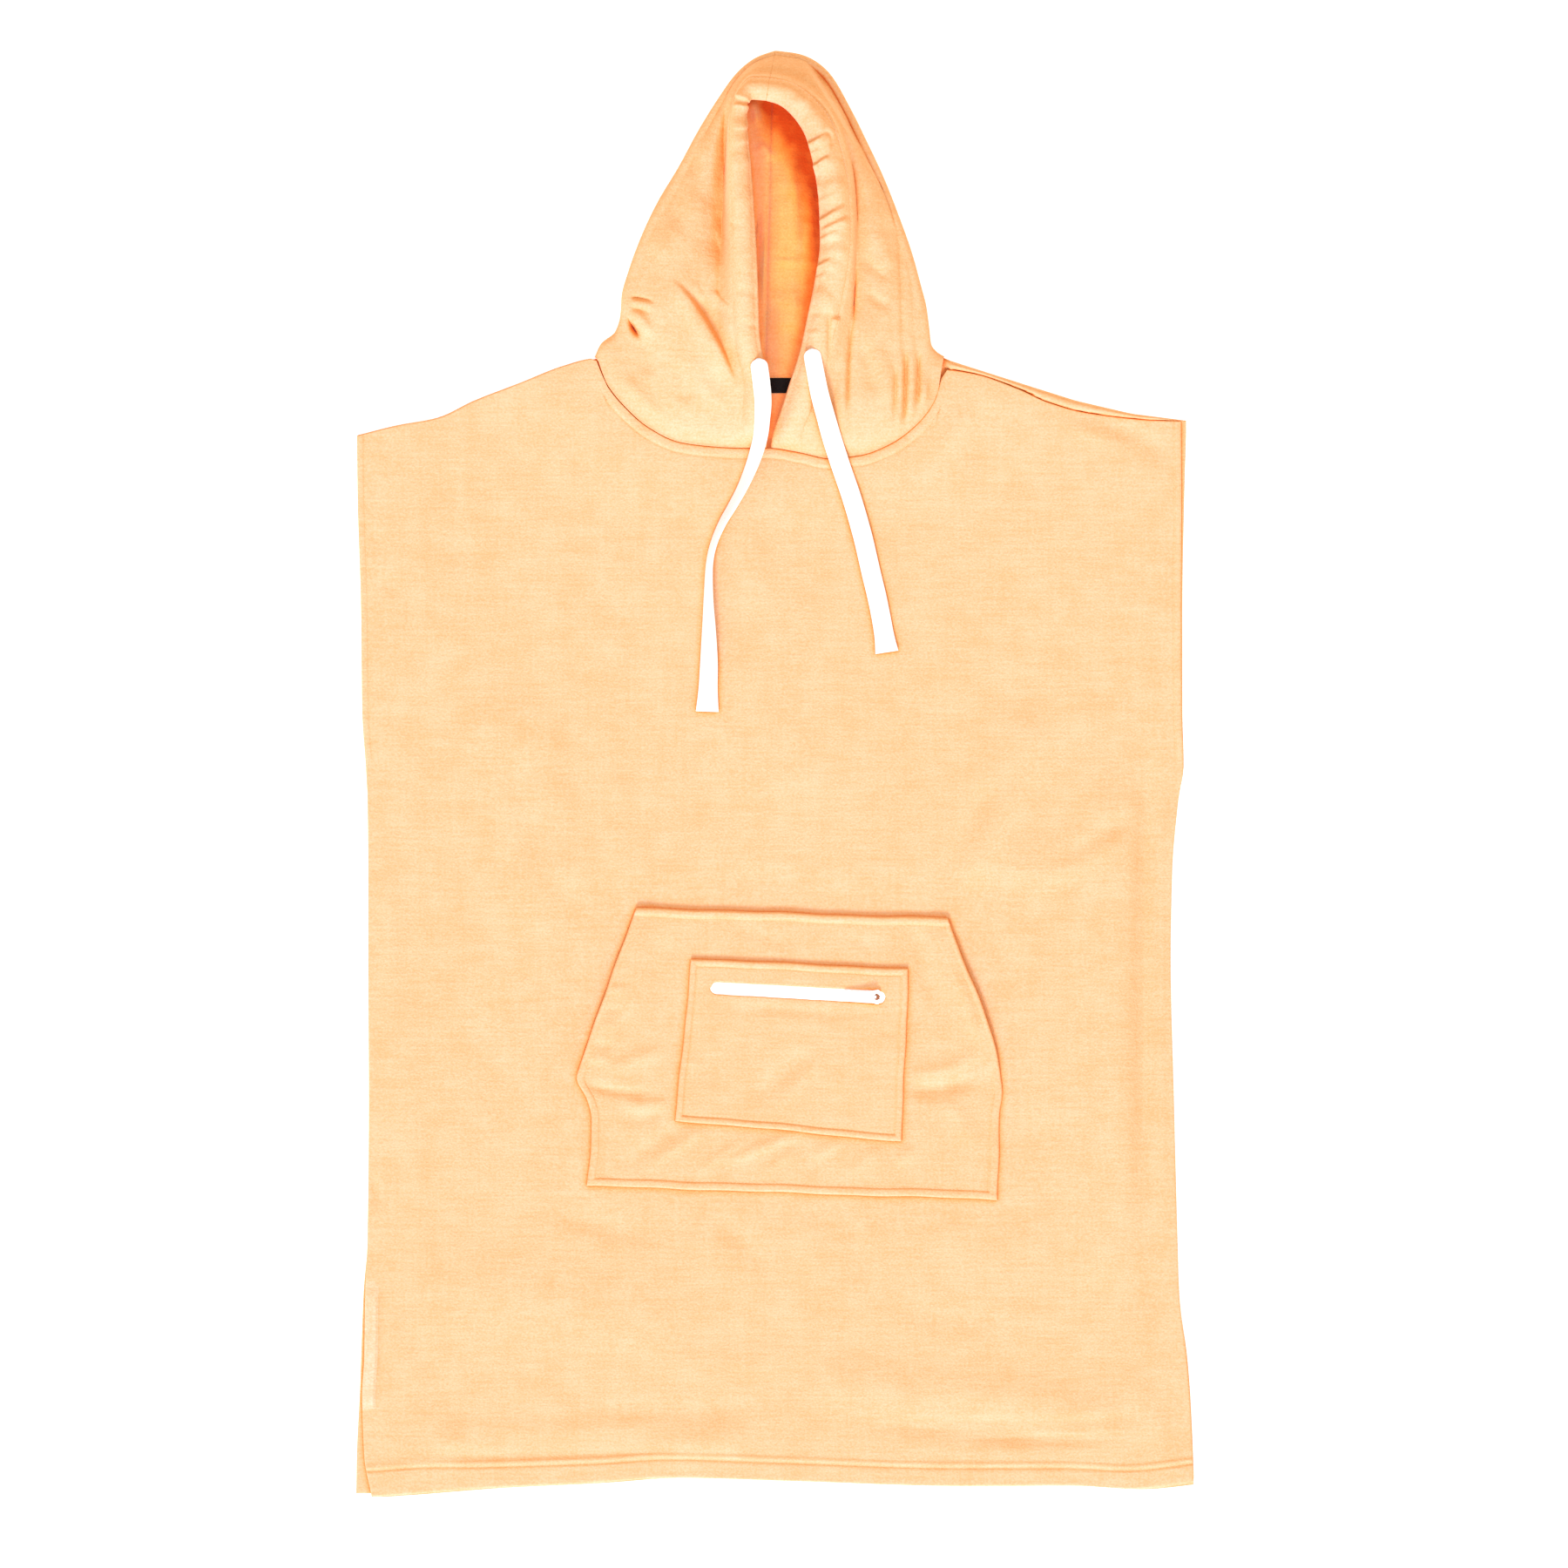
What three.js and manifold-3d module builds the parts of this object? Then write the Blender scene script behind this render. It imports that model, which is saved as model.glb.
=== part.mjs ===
// A hooded bath poncho in terry cloth, laid face up on a flat surface with its hood above the shoulders.
// Sizes are in millimetres. +X is to the right seen from above, +Y towards the hood and +Z up.
// The origin is under the middle of the garment, on the surface that it lies on.
import * as THREE from "three";
import { mergeVertices } from "three/addons/utils/BufferGeometryUtils.js";
import Module from "manifold-3d";

const wasm = await Module();
wasm.setup();

// Driving sizes
const CLOTH = 2.4;
const SEAM_GAP = 0.3;
const BACK_TOP = CLOTH;
const FRONT_BASE = BACK_TOP + SEAM_GAP;
const NECK_LIFT = 3;
const NECK_CENTRE = { x: -5, y: 381, halfWidth: 160, depth: 88, seam: 1.15 };
const NECK_LIFT_REACH = 70;
const FRONT_REST_LIFT = 0.8;
const FRONT_EDGE = { left: -383, right: 384, bottom: -655, top: 390, fade: 40 };
const BACK_NECK = { middleX: -8, middleY: 364.4, rise: 16.8, halfWidth: 160, clear: 0.4, steps: 10 };
const BACK_HEM = { setIn: 3, leftCorner: -656.4, rightCorner: 384.4 };
const CASING_PUFF = 5;
const CENTRE_BACK = { neckX: -9.5, neckY: 364.4, crownX: -2, crownY: 648 };
const CORD_WIDTH = 17.6;
const CORD_THICKNESS = 3;
const LABEL = { x: -9, y: 354, width: 56, height: 14, thickness: 0.6 };
const ZIP = { x: 20.8, y: -200.6, tilt: -0.0535, length: 160, width: 11, endGap: 2.4 };
const TAPE = 1;
const CHAIN = { width: 5, top: 2.5, slope: 0.8 };
const SLIDER = { x: 68, length: 15, width: 13.5, plate: 2.4, bevelRun: 1, bevelDrop: 0.6 };
const BRIDGE = { width: 2.6, inner: 2.7, outer: 4.2 };
const PULL = { length: 26, width: 9.6, thickness: 1.6, tilt: 0.11, axisRise: 2 };
const PULL_EYE = { length: 5.6, arm: 2 };
const PULL_TIP = { taper: 1, start: 3, holeInset: 3.6, holeRadius: 1.7 };

// Colours of the cloth, the white trim and the label
const PEACH = 0xfbd9a8;
const WHITE = 0xfbfaf6;
const BLACK = 0x17171a;

// Sides of the two panels, from the shoulder tips to the hem
const BODY_SIDES = [
  { y: 311, backLeft: -383.8, frontLeft: -383, frontRight: 372.5, backRight: 377.2 },
  { y: 250, backLeft: -383, frontLeft: -382.4, frontRight: 372.8, backRight: 375.4 },
  { y: 150, backLeft: -380, frontLeft: -379.4, frontRight: 372.4, backRight: 373.8 },
  { y: 60, backLeft: -379, frontLeft: -378.4, frontRight: 372.8, backRight: 373.8 },
  { y: 7, backLeft: -375.6, frontLeft: -375, frontRight: 374.4, backRight: 375 },
  { y: -25, backLeft: -374, frontLeft: -373.4, frontRight: 369, backRight: 369.6 },
  { y: -90, backLeft: -373.4, frontLeft: -372.8, frontRight: 363.4, backRight: 364 },
  { y: -170, backLeft: -373.4, frontLeft: -372.8, frontRight: 362, backRight: 362.6 },
  { y: -300, backLeft: -372.8, frontLeft: -372.2, frontRight: 365, backRight: 365.6 },
  { y: -425, backLeft: -374, frontLeft: -373.2, frontRight: 368.2, backRight: 368.8 },
  { y: -475, backLeft: -378, frontLeft: -376, frontRight: 369.6, backRight: 370.4 },
  { y: -537, backLeft: -380.4, frontLeft: -377.4, frontRight: 377.4, backRight: 378.4 },
  { y: -570, backLeft: -381.6, frontLeft: -379.2, frontRight: 380.2, backRight: 381 },
  { y: -625, backLeft: -384.2, frontLeft: -377.6, frontRight: 383, backRight: 383.6 },
  { y: -664, backLeft: -384.8, frontLeft: -370.4, frontRight: 384.8, backRight: 384.8 },
];

// Upper edge of the front: left shoulder, the neck seam and right shoulder
const FRONT_TOP_EDGE = [
  { x: -383, y: 310.8 },
  { x: -346, y: 320 },
  { x: -309.6, y: 326.8 },
  { x: -275.2, y: 342.8 },
  { x: -233.6, y: 358.8 },
  { x: -192.8, y: 374.8 },
  { x: -165.6, y: 381.2 },
  { x: -154.4, y: 357.2 },
  { x: -139.2, y: 338 },
  { x: -116.8, y: 318 },
  { x: -88.8, y: 304.4 },
  { x: -61.6, y: 300.4 },
  { x: -33.6, y: 298.8 },
  { x: -5.6, y: 298.8 },
  { x: 21.6, y: 294.8 },
  { x: 49.6, y: 289.2 },
  { x: 77.6, y: 292 },
  { x: 104.8, y: 302 },
  { x: 127.2, y: 318 },
  { x: 144, y: 338 },
  { x: 151, y: 355 },
  { x: 155.2, y: 371 },
  { x: 180.8, y: 367.6 },
  { x: 223.2, y: 353.2 },
  { x: 248.8, y: 341.6 },
  { x: 285.6, y: 331.6 },
  { x: 340.8, y: 325.2 },
  { x: 372.5, y: 323.6 },
];

// Shoulders of the back, which rolls over the right shoulder seam and shows beyond it
const BACK_LEFT_SHOULDER = [
  { x: -309.6, y: 326.8 },
  { x: -233.6, y: 358.8 },
  { x: -165.6, y: 381.2 },
];
const BACK_RIGHT_SHOULDER = [
  { x: 155.2, y: 381.2 },
  { x: 230.4, y: 357.2 },
  { x: 276, y: 342.8 },
  { x: 327.2, y: 330.8 },
  { x: 377.4, y: 324.4 },
];

const HEM = [
  { x: -370.4, y: -663.6 },
  { x: -336, y: -661.2 },
  { x: -264, y: -655.6 },
  { x: -168, y: -650.8 },
  { x: -96, y: -646.2 },
  { x: 0, y: -648.8 },
  { x: 168, y: -653.8 },
  { x: 264, y: -653.4 },
  { x: 324, y: -656.6 },
  { x: 384.8, y: -651 },
];

// The largest soft folds of the front: a ridge where height is positive, a trough where it is negative
const FRONT_FOLDS = [
  { x1: 344, y1: -20, x2: 340, y2: -470, height: -1.8, width: 22 },
  { x1: 308, y1: -40, x2: 306, y2: -440, height: 2.4, width: 34 },
  { x1: 182, y1: -75, x2: 226, y2: 30, height: 2.6, width: 24 },
  { x1: 235, y1: -90, x2: 322, y2: -40, height: 2.2, width: 22 },
  { x1: -250, y1: 40, x2: -214, y2: -110, height: 2.2, width: 34 },
  { x1: -20, y1: 230, x2: -10, y2: 20, height: 2.4, width: 46 },
  { x1: -290, y1: -470, x2: -120, y2: -500, height: 2, width: 36 },
  { x1: 60, y1: -560, x2: 300, y2: -590, height: 2.4, width: 22 },
  { x1: -300, y1: -612, x2: -40, y2: -610, height: 1.8, width: 14 },
];

// The hood's halves from the neck seam (v 0) to the crown seam (v 1). Each row runs from the centre back on
// the surface below, out to the side fold, and back on top to the front edge of the opening.
const HOOD_LEFT_ROWS = [
  { v: 0, backY: 364.8, sideX: -164.6, sideY: 382.4, frontX: -8, frontY: 299.2, sag: 1, casing: 24,
    fold: 6.9, middle: 6.9, trough: 6.9, outer: 7.5, crest: 8, edge: 7.5 },
  { v: 0.05, backY: 375, sideX: -159, sideY: 394, frontX: -8, frontY: 311, sag: 0.85, casing: 26,
    fold: 9, middle: 14, trough: 14, outer: 16, crest: 18, edge: 15 },
  { v: 0.12, backY: 388, sideX: -146, sideY: 405, frontX: -6, frontY: 330, sag: 0.65, casing: 27,
    fold: 10, middle: 20, trough: 19, outer: 22, crest: 25, edge: 21 },
  { v: 0.2, backY: 403, sideX: -141, sideY: 421, frontX: -5, frontY: 352, sag: 0.45, casing: 27,
    fold: 12, middle: 24, trough: 23, outer: 28, crest: 31, edge: 27 },
  { v: 0.28, backY: 420, sideX: -140, sideY: 438, frontX: -10.5, frontY: 378, sag: 0.28, casing: 27,
    fold: 14, middle: 27, trough: 25, outer: 33, crest: 37, edge: 33 },
  { v: 0.37, backY: 445, sideX: -133.6, sideY: 461, frontX: -14.5, frontY: 405, sag: 0.14, casing: 27,
    fold: 14, middle: 28, trough: 23, outer: 37, crest: 42, edge: 38 },
  { v: 0.46, backY: 475, sideX: -122.6, sideY: 491, frontX: -15.5, frontY: 437, sag: 0.05, casing: 27,
    fold: 14, middle: 27, trough: 19, outer: 41, crest: 46, edge: 42 },
  { v: 0.55, backY: 508, sideX: -107.6, sideY: 523, frontX: -17, frontY: 474, sag: 0, casing: 26,
    fold: 14, middle: 25, trough: 15, outer: 44, crest: 49, edge: 45 },
  { v: 0.65, backY: 545, sideX: -88, sideY: 556, frontX: -19.5, frontY: 515, sag: 0, casing: 25,
    fold: 13, middle: 22, trough: 13, outer: 45, crest: 51, edge: 46 },
  { v: 0.75, backY: 580, sideX: -68.4, sideY: 592, frontX: -22.5, frontY: 556, sag: 0, casing: 24,
    fold: 12, middle: 20, trough: 15, outer: 44, crest: 50, edge: 46 },
  { v: 0.84, backY: 610, sideX: -51.6, sideY: 619, frontX: -26, frontY: 588, sag: 0, casing: 22,
    fold: 11, middle: 20, trough: 20, outer: 42, crest: 48, edge: 45 },
  { v: 0.92, backY: 632, sideX: -35, sideY: 642, frontX: -28, frontY: 606, sag: 0, casing: 21,
    fold: 10, middle: 20, trough: 25, outer: 40, crest: 46, edge: 43 },
  { v: 0.97, backY: 642, sideX: -18, sideY: 656, frontX: -21, frontY: 616, sag: 0, casing: 21,
    fold: 9.5, middle: 21, trough: 28, outer: 39, crest: 45, edge: 42 },
  { v: 1, backY: 648, sideX: 0, sideY: 663, frontX: -8.5, frontY: 615, sag: 0, casing: 22,
    fold: 9, middle: 22, trough: 29, outer: 38, crest: 44, edge: 42 },
];
const HOOD_RIGHT_ROWS = [
  { v: 0, backY: 364.8, sideX: 154.4, sideY: 382.2, frontX: -4, frontY: 299.2, sag: 1, casing: 28,
    fold: 6.9, middle: 6.9, trough: 6.9, outer: 7.5, crest: 8, edge: 7.5 },
  { v: 0.05, backY: 375, sideX: 147.4, sideY: 386.6, frontX: -2, frontY: 313, sag: 0.85, casing: 30,
    fold: 9, middle: 15, trough: 14, outer: 17, crest: 19, edge: 15 },
  { v: 0.12, backY: 388, sideX: 142, sideY: 394, frontX: 5, frontY: 333, sag: 0.65, casing: 32,
    fold: 11, middle: 20, trough: 20, outer: 24, crest: 26, edge: 21 },
  { v: 0.2, backY: 403, sideX: 140, sideY: 410, frontX: 14, frontY: 360, sag: 0.45, casing: 32,
    fold: 12, middle: 22, trough: 23, outer: 30, crest: 32, edge: 27 },
  { v: 0.28, backY: 420, sideX: 137.6, sideY: 428, frontX: 22.5, frontY: 386, sag: 0.28, casing: 32,
    fold: 13, middle: 23, trough: 25, outer: 35, crest: 38, edge: 32 },
  { v: 0.37, backY: 445, sideX: 132, sideY: 450, frontX: 30, frontY: 420, sag: 0.14, casing: 32,
    fold: 13, middle: 24, trough: 27, outer: 39, crest: 43, edge: 37 },
  { v: 0.46, backY: 475, sideX: 124.6, sideY: 477, frontX: 36.5, frontY: 452, sag: 0.05, casing: 32,
    fold: 12, middle: 24, trough: 29, outer: 42, crest: 47, edge: 41 },
  { v: 0.55, backY: 508, sideX: 113, sideY: 510, frontX: 41, frontY: 486, sag: 0, casing: 31,
    fold: 12, middle: 24, trough: 31, outer: 44, crest: 50, edge: 44 },
  { v: 0.65, backY: 545, sideX: 98, sideY: 548, frontX: 40, frontY: 522, sag: 0, casing: 31,
    fold: 11, middle: 24, trough: 32, outer: 45, crest: 52, edge: 45 },
  { v: 0.75, backY: 580, sideX: 82, sideY: 582, frontX: 35, frontY: 556, sag: 0, casing: 30,
    fold: 11, middle: 24, trough: 33, outer: 45, crest: 52, edge: 46 },
  { v: 0.84, backY: 610, sideX: 67.6, sideY: 611, frontX: 27.5, frontY: 583, sag: 0, casing: 28,
    fold: 10, middle: 24, trough: 33, outer: 43, crest: 50, edge: 45 },
  { v: 0.92, backY: 632, sideX: 46.4, sideY: 645, frontX: 13, frontY: 604, sag: 0, casing: 25,
    fold: 10, middle: 22, trough: 31, outer: 40, crest: 47, edge: 43 },
  { v: 0.97, backY: 642, sideX: 24, sideY: 659, frontX: 2, frontY: 612, sag: 0, casing: 23,
    fold: 9.5, middle: 22, trough: 30, outer: 39, crest: 45, edge: 42 },
  { v: 1, backY: 648, sideX: 0, sideY: 663, frontX: -8.5, frontY: 615, sag: 0, casing: 22,
    fold: 9, middle: 22, trough: 29, outer: 38, crest: 44, edge: 42 },
];

// Folds of the hood's upper layer: the left cheek's long diagonal, and the right side's step and low pleats
const HOOD_FOLDS = [
  { x1: -92, y1: 441, x2: -53, y2: 396, height: -5, width: 8 },
  { x1: -53, y1: 396, x2: -36, y2: 348, height: -6, width: 8 },
  { x1: -112, y1: 470, x2: -84, y2: 500, height: 4, width: 20 },
  { x1: 62, y1: 600, x2: 84, y2: 552, height: -8, width: 9 },
  { x1: 84, y1: 552, x2: 112, y2: 474, height: -6, width: 9 },
  { x1: 112, y1: 474, x2: 119, y2: 385, height: -3.5, width: 8 },
  { x1: 119, y1: 385, x2: 121, y2: 330, height: -3, width: 7 },
  { x1: 134, y1: 385, x2: 134, y2: 340, height: 4, width: 7 },
];

// Gathers that the drawcord draws into the casing, by the length of the opening's edge at which each lies
const GATHERS = [
  { side: "right", y: 580, height: 1.5 },
  { side: "right", y: 559, height: 1.7 },
  { side: "right", y: 539, height: 1 },
  { side: "right", y: 516, height: 1.6 },
  { side: "right", y: 499, height: 1.8 },
  { side: "right", y: 482, height: 1.5 },
  { side: "right", y: 456, height: 1.3 },
  { side: "right", y: 432, height: 0.8 },
  { side: "left", y: 606, height: 1.4 },
  { side: "left", y: 590, height: 1.2 },
  { side: "left", y: 532, height: 0.9 },
  { side: "left", y: 480, height: 0.8 },
];
const GATHER_WIDTH = 5;

// Shares of the panel and of the casing at which a row of the hood gives its height
const PANEL_STATIONS = [
  { at: 0, height: "fold" },
  { at: 0.45, height: "middle" },
  { at: 0.84, height: "trough" },
  { at: 1, height: "outer" },
];
const CASING_STATIONS = [
  { at: 0, height: "outer" },
  { at: 0.45, height: "crest" },
  { at: 1, height: "edge" },
];
const HOOD_COLUMNS = { back: 3, fold: 4, panel: 8, casing: 5 };
const HOOD_ROWS = 40;

// Shares of the hood's length (sag, folds, puff) or width (panel) over which each form grows from nothing
const HOOD_GROWTH = { sag: 0.03, folds: 0.06, puff: 0.15, panel: 0.2 };
const PUFF_END = 0.8;

const POCKET_SIDES = [
  { v: 0, left: -172.8, right: 204 },
  { v: 0.24, left: -168.8, right: 205 },
  { v: 0.31, left: -172.8, right: 205.6 },
  { v: 0.39, left: -181.6, right: 208.8 },
  { v: 0.43, left: -179, right: 208 },
  { v: 1, left: -127.2, right: 158.4 },
];
const POCKET_BOTTOM = { left: -378, right: -390.8 };
const POCKET_TOP = { left: -122.8, right: -132.4 };
const POCKET_ROWS = [0, 0.08, 0.16, 0.24, 0.31, 0.39, 0.43, 0.54, 0.65, 0.77, 0.89, 1];
const POCKET_COLUMNS = 16;
const POCKET_MOUTH = { low: 0.43, lift: 3, reach: 0.12 };
const FLAT_ZONE = { left: -186, right: 213, bottom: -396, top: -118, margin: 34 };

const FRONT_ROWS = 32;
const SLOT_CORNER = 2;
const PATCH_CORNERS = [
  { x: -92, y: -318 },
  { x: 115.6, y: -337.2 },
  { x: 122.4, y: -178.8 },
  { x: -76.8, y: -169.2 },
];

// Free ends of the flat drawcord, from the casing to the cut end: the middle line, how far the flat turns
// on its edge in degrees, and the width as a share of the full one
const CORD_LEFT_ROUTE = [
  { x: -15.6, y: 379.6, z: 42.4, turn: 0, wide: 0.9 },
  { x: -12.8, y: 358.8, z: 37.8, turn: 0, wide: 0.92 },
  { x: -11.2, y: 340.4, z: 34.2, turn: 8, wide: 0.9 },
  { x: -12, y: 324.4, z: 30, turn: 18, wide: 0.86 },
  { x: -13.6, y: 309.2, z: 24, turn: 26, wide: 0.84 },
  { x: -20, y: 286.8, z: 15.6, turn: 36, wide: 0.82 },
  { x: -29.6, y: 263.6, z: 16.2, turn: 48, wide: 0.78 },
  { x: -40, y: 244.4, z: 15.8, turn: 54, wide: 0.74 },
  { x: -48, y: 230.8, z: 15.1, turn: 58, wide: 0.7 },
  { x: -56, y: 212.4, z: 13.8, turn: 62, wide: 0.66 },
  { x: -60, y: 194.8, z: 13.6, turn: 62, wide: 0.66 },
  { x: -61.2, y: 163.6, z: 13.5, turn: 52, wide: 0.72 },
  { x: -60.8, y: 132.4, z: 12.9, turn: 34, wide: 0.84 },
  { x: -60.8, y: 102, z: 10.8, turn: 12, wide: 0.94 },
  { x: -61.6, y: 78.8, z: 9.2, turn: 0, wide: 1 },
  { x: -62.4, y: 57.2, z: 9.2, turn: 0, wide: 1.2 },
];
const CORD_RIGHT_ROUTE = [
  { x: 32.8, y: 388.4, z: 43.8, turn: 0, wide: 0.9 },
  { x: 36.6, y: 367.6, z: 39.6, turn: 0, wide: 0.92 },
  { x: 40.8, y: 346.8, z: 34.4, turn: 0, wide: 0.95 },
  { x: 46.4, y: 326.8, z: 26, turn: 0, wide: 0.97 },
  { x: 51.2, y: 310, z: 19.2, turn: 0, wide: 1 },
  { x: 60, y: 282.8, z: 11.2, turn: 0, wide: 1 },
  { x: 69.6, y: 254.8, z: 10, turn: 0, wide: 1 },
  { x: 80, y: 218.8, z: 8.4, turn: 0, wide: 1 },
  { x: 88, y: 184.4, z: 8, turn: 0, wide: 1 },
  { x: 92.8, y: 164.4, z: 8, turn: 0, wide: 1 },
  { x: 96.8, y: 145.2, z: 8, turn: 0, wide: 1 },
  { x: 100, y: 126.8, z: 8, turn: 0, wide: 1.04 },
  { x: 102.4, y: 111.6, z: 8, turn: 0, wide: 1.22 },
];
const CORD_STEPS = 40;

const lerp = THREE.MathUtils.lerp;
const clamp = THREE.MathUtils.clamp;
const smooth = (share) => THREE.MathUtils.smoothstep(share, 0, 1);

// Value of one named column at a key, on a smooth line through the table's rows that never overshoots them.
function read(table, key, column, at) {
  const rows = table[0][key] <= table[table.length - 1][key] ? table : [...table].reverse();
  const last = rows.length - 1;
  const here = clamp(at, rows[0][key], rows[last][key]);
  let i = 0;
  while (i < last - 1 && here > rows[i + 1][key]) i += 1;
  const width = (k) => rows[k + 1][key] - rows[k][key];
  const rise = (k) => (rows[k + 1][column] - rows[k][column]) / width(k);
  const slope = (k) => {
    if (k === 0 || k === last) return rise(k === 0 ? 0 : last - 1);
    const before = rise(k - 1);
    const after = rise(k);
    return before * after <= 0 ? 0 : (2 * before * after) / (before + after);
  };
  const t = (here - rows[i][key]) / width(i);
  const t2 = t * t;
  const t3 = t2 * t;
  return (
    (2 * t3 - 3 * t2 + 1) * rows[i][column] +
    (t3 - 2 * t2 + t) * width(i) * slope(i) +
    (3 * t2 - 2 * t3) * rows[i + 1][column] +
    (t3 - t2) * width(i) * slope(i + 1)
  );
}

// Value of column y at x on the straight lines between the rows of an outline.
function along(outline, x) {
  let i = 0;
  while (i < outline.length - 2 && x > outline[i + 1].x) i += 1;
  const a = outline[i];
  const b = outline[i + 1];
  return lerp(a.y, b.y, clamp((x - a.x) / (b.x - a.x), 0, 1));
}

// Height that a list of folds adds at a point: each is a soft ridge or trough that fades at its ends, and
// where several lie together the highest ridge and the deepest trough count.
function foldsAt(folds, x, y) {
  let ridge = 0;
  let trough = 0;
  for (const f of folds) {
    const run = Math.hypot(f.x2 - f.x1, f.y2 - f.y1);
    const dx = (f.x2 - f.x1) / run;
    const dy = (f.y2 - f.y1) / run;
    const forward = (x - f.x1) * dx + (y - f.y1) * dy;
    const aside = (x - f.x1) * dy - (y - f.y1) * dx;
    const past = Math.max(0, -forward, forward - run);
    const height = f.height * Math.exp(-(aside * aside + past * past) / (f.width * f.width));
    ridge = Math.max(ridge, height);
    trough = Math.min(trough, height);
  }
  return ridge + trough;
}

// How far the front's underside stands above its flat base.
function frontLift(x, y) {
  const n = NECK_CENTRE;
  const reach = Math.hypot((x - n.x) / n.halfWidth, Math.min(0, y - n.y) / n.depth);
  const fromSeam = Math.max(0, reach - n.seam) * n.depth;
  const neck = NECK_LIFT * (1 - smooth(fromSeam / NECK_LIFT_REACH));
  const z = FLAT_ZONE;
  const outside = Math.max(z.left - x, x - z.right, z.bottom - y, y - z.top, 0);
  const e = FRONT_EDGE;
  const fromEdge = Math.min(x - e.left, e.right - x, y - e.bottom, e.top - y);
  const free = smooth(outside / z.margin) * smooth(fromEdge / e.fade);
  return neck + Math.max(0, (FRONT_REST_LIFT + foldsAt(FRONT_FOLDS, x, y)) * free);
}

const frontTop = (x, y) => FRONT_BASE + frontLift(x, y) + CLOTH;

// A closed wall between two grids of points of one size, with its four edges.
function wall(upper, lower) {
  const rows = upper.length;
  const columns = upper[0].length;
  const positions = [];
  for (const row of [...upper, ...lower]) {
    for (const p of row) positions.push(p.x, p.y, p.z);
  }
  const up = (i, j) => i * columns + j;
  const low = (i, j) => rows * columns + up(i, j);
  const faces = [];
  const quad = (a, b, c, d) => faces.push(a, b, c, a, c, d);
  for (let i = 0; i + 1 < rows; i += 1) {
    for (let j = 0; j + 1 < columns; j += 1) {
      quad(up(i, j), up(i, j + 1), up(i + 1, j + 1), up(i + 1, j));
      quad(low(i, j), low(i + 1, j), low(i + 1, j + 1), low(i, j + 1));
    }
    quad(up(i, 0), up(i + 1, 0), low(i + 1, 0), low(i, 0));
    quad(up(i, columns - 1), low(i, columns - 1), low(i + 1, columns - 1), up(i + 1, columns - 1));
  }
  for (let j = 0; j + 1 < columns; j += 1) {
    quad(up(0, j), low(0, j), low(0, j + 1), up(0, j + 1));
    quad(up(rows - 1, j), up(rows - 1, j + 1), low(rows - 1, j + 1), low(rows - 1, j));
  }
  return facingOut(positions, faces);
}

// Geometry with its faces turned to point out of the solid.
function facingOut(positions, faces) {
  const corner = (k) => new THREE.Vector3().fromArray(positions, faces[k] * 3);
  let volume = 0;
  for (let k = 0; k < faces.length; k += 3) {
    volume += corner(k).dot(corner(k + 1).cross(corner(k + 2)));
  }
  const geometry = new THREE.BufferGeometry();
  geometry.setAttribute("position", new THREE.Float32BufferAttribute(positions, 3));
  geometry.setIndex(volume < 0 ? [...faces].reverse() : faces);
  return geometry;
}

// A sheet of cloth that lies on something: a grid in plan with the height of its underside at each point.
function laidSheet(columns, rows, planAt, undersideAt) {
  const lower = [];
  for (const v of rows) {
    lower.push(columns.map((u) => {
      const plan = planAt(u, v);
      return new THREE.Vector3(plan.x, plan.y, undersideAt(plan, u, v));
    }));
  }
  const upper = lower.map((row) => row.map((p) => new THREE.Vector3(p.x, p.y, p.z + CLOTH)));
  return wall(upper, lower);
}

const evenly = (count) => Array.from({ length: count + 1 }, (_, i) => i / count);

function frontPanel() {
  const first = FRONT_TOP_EDGE[0].x;
  const last = FRONT_TOP_EDGE[FRONT_TOP_EDGE.length - 1].x;
  const columns = FRONT_TOP_EDGE.map((p) => (p.x - first) / (last - first));
  const planAt = (u, v) => {
    const x = lerp(first, last, u);
    const y = lerp(read(HEM, "x", "y", x), along(FRONT_TOP_EDGE, x), v);
    const left = read(BODY_SIDES, "y", "frontLeft", y);
    const right = read(BODY_SIDES, "y", "frontRight", y);
    return { x: lerp(left, right, u), y };
  };
  return laidSheet(columns, evenly(FRONT_ROWS), planAt, (p) => FRONT_BASE + frontLift(p.x, p.y));
}

// Height of the back's neck edge in plan: a shallow curve, lowest at the middle.
function backNeckY(x) {
  const share = (x - BACK_NECK.middleX) / BACK_NECK.halfWidth;
  return BACK_NECK.middleY + BACK_NECK.rise * share * share;
}

function backPanel() {
  const outline = [];
  const neckLeft = BACK_LEFT_SHOULDER[BACK_LEFT_SHOULDER.length - 1].x;
  const neckRight = BACK_RIGHT_SHOULDER[0].x;
  for (const row of BODY_SIDES) outline.push([row.backLeft, Math.max(row.y, BACK_HEM.leftCorner)]);
  for (const p of HEM.slice(1)) outline.push([Math.min(p.x, BACK_HEM.rightCorner), p.y + BACK_HEM.setIn]);
  for (const row of [...BODY_SIDES].reverse().slice(1)) outline.push([row.backRight, row.y]);
  for (const p of [...BACK_RIGHT_SHOULDER].reverse()) outline.push([p.x, p.y]);
  for (const share of evenly(BACK_NECK.steps).slice(1, -1)) {
    const x = lerp(neckRight, neckLeft, share);
    outline.push([x, backNeckY(x)]);
  }
  for (const p of [...BACK_LEFT_SHOULDER].reverse()) outline.push([p.x, p.y]);
  const shape = new THREE.Shape(outline.map(([x, y]) => new THREE.Vector2(x, y)));
  return new THREE.ExtrudeGeometry(shape, { depth: CLOTH, bevelEnabled: false });
}

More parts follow.
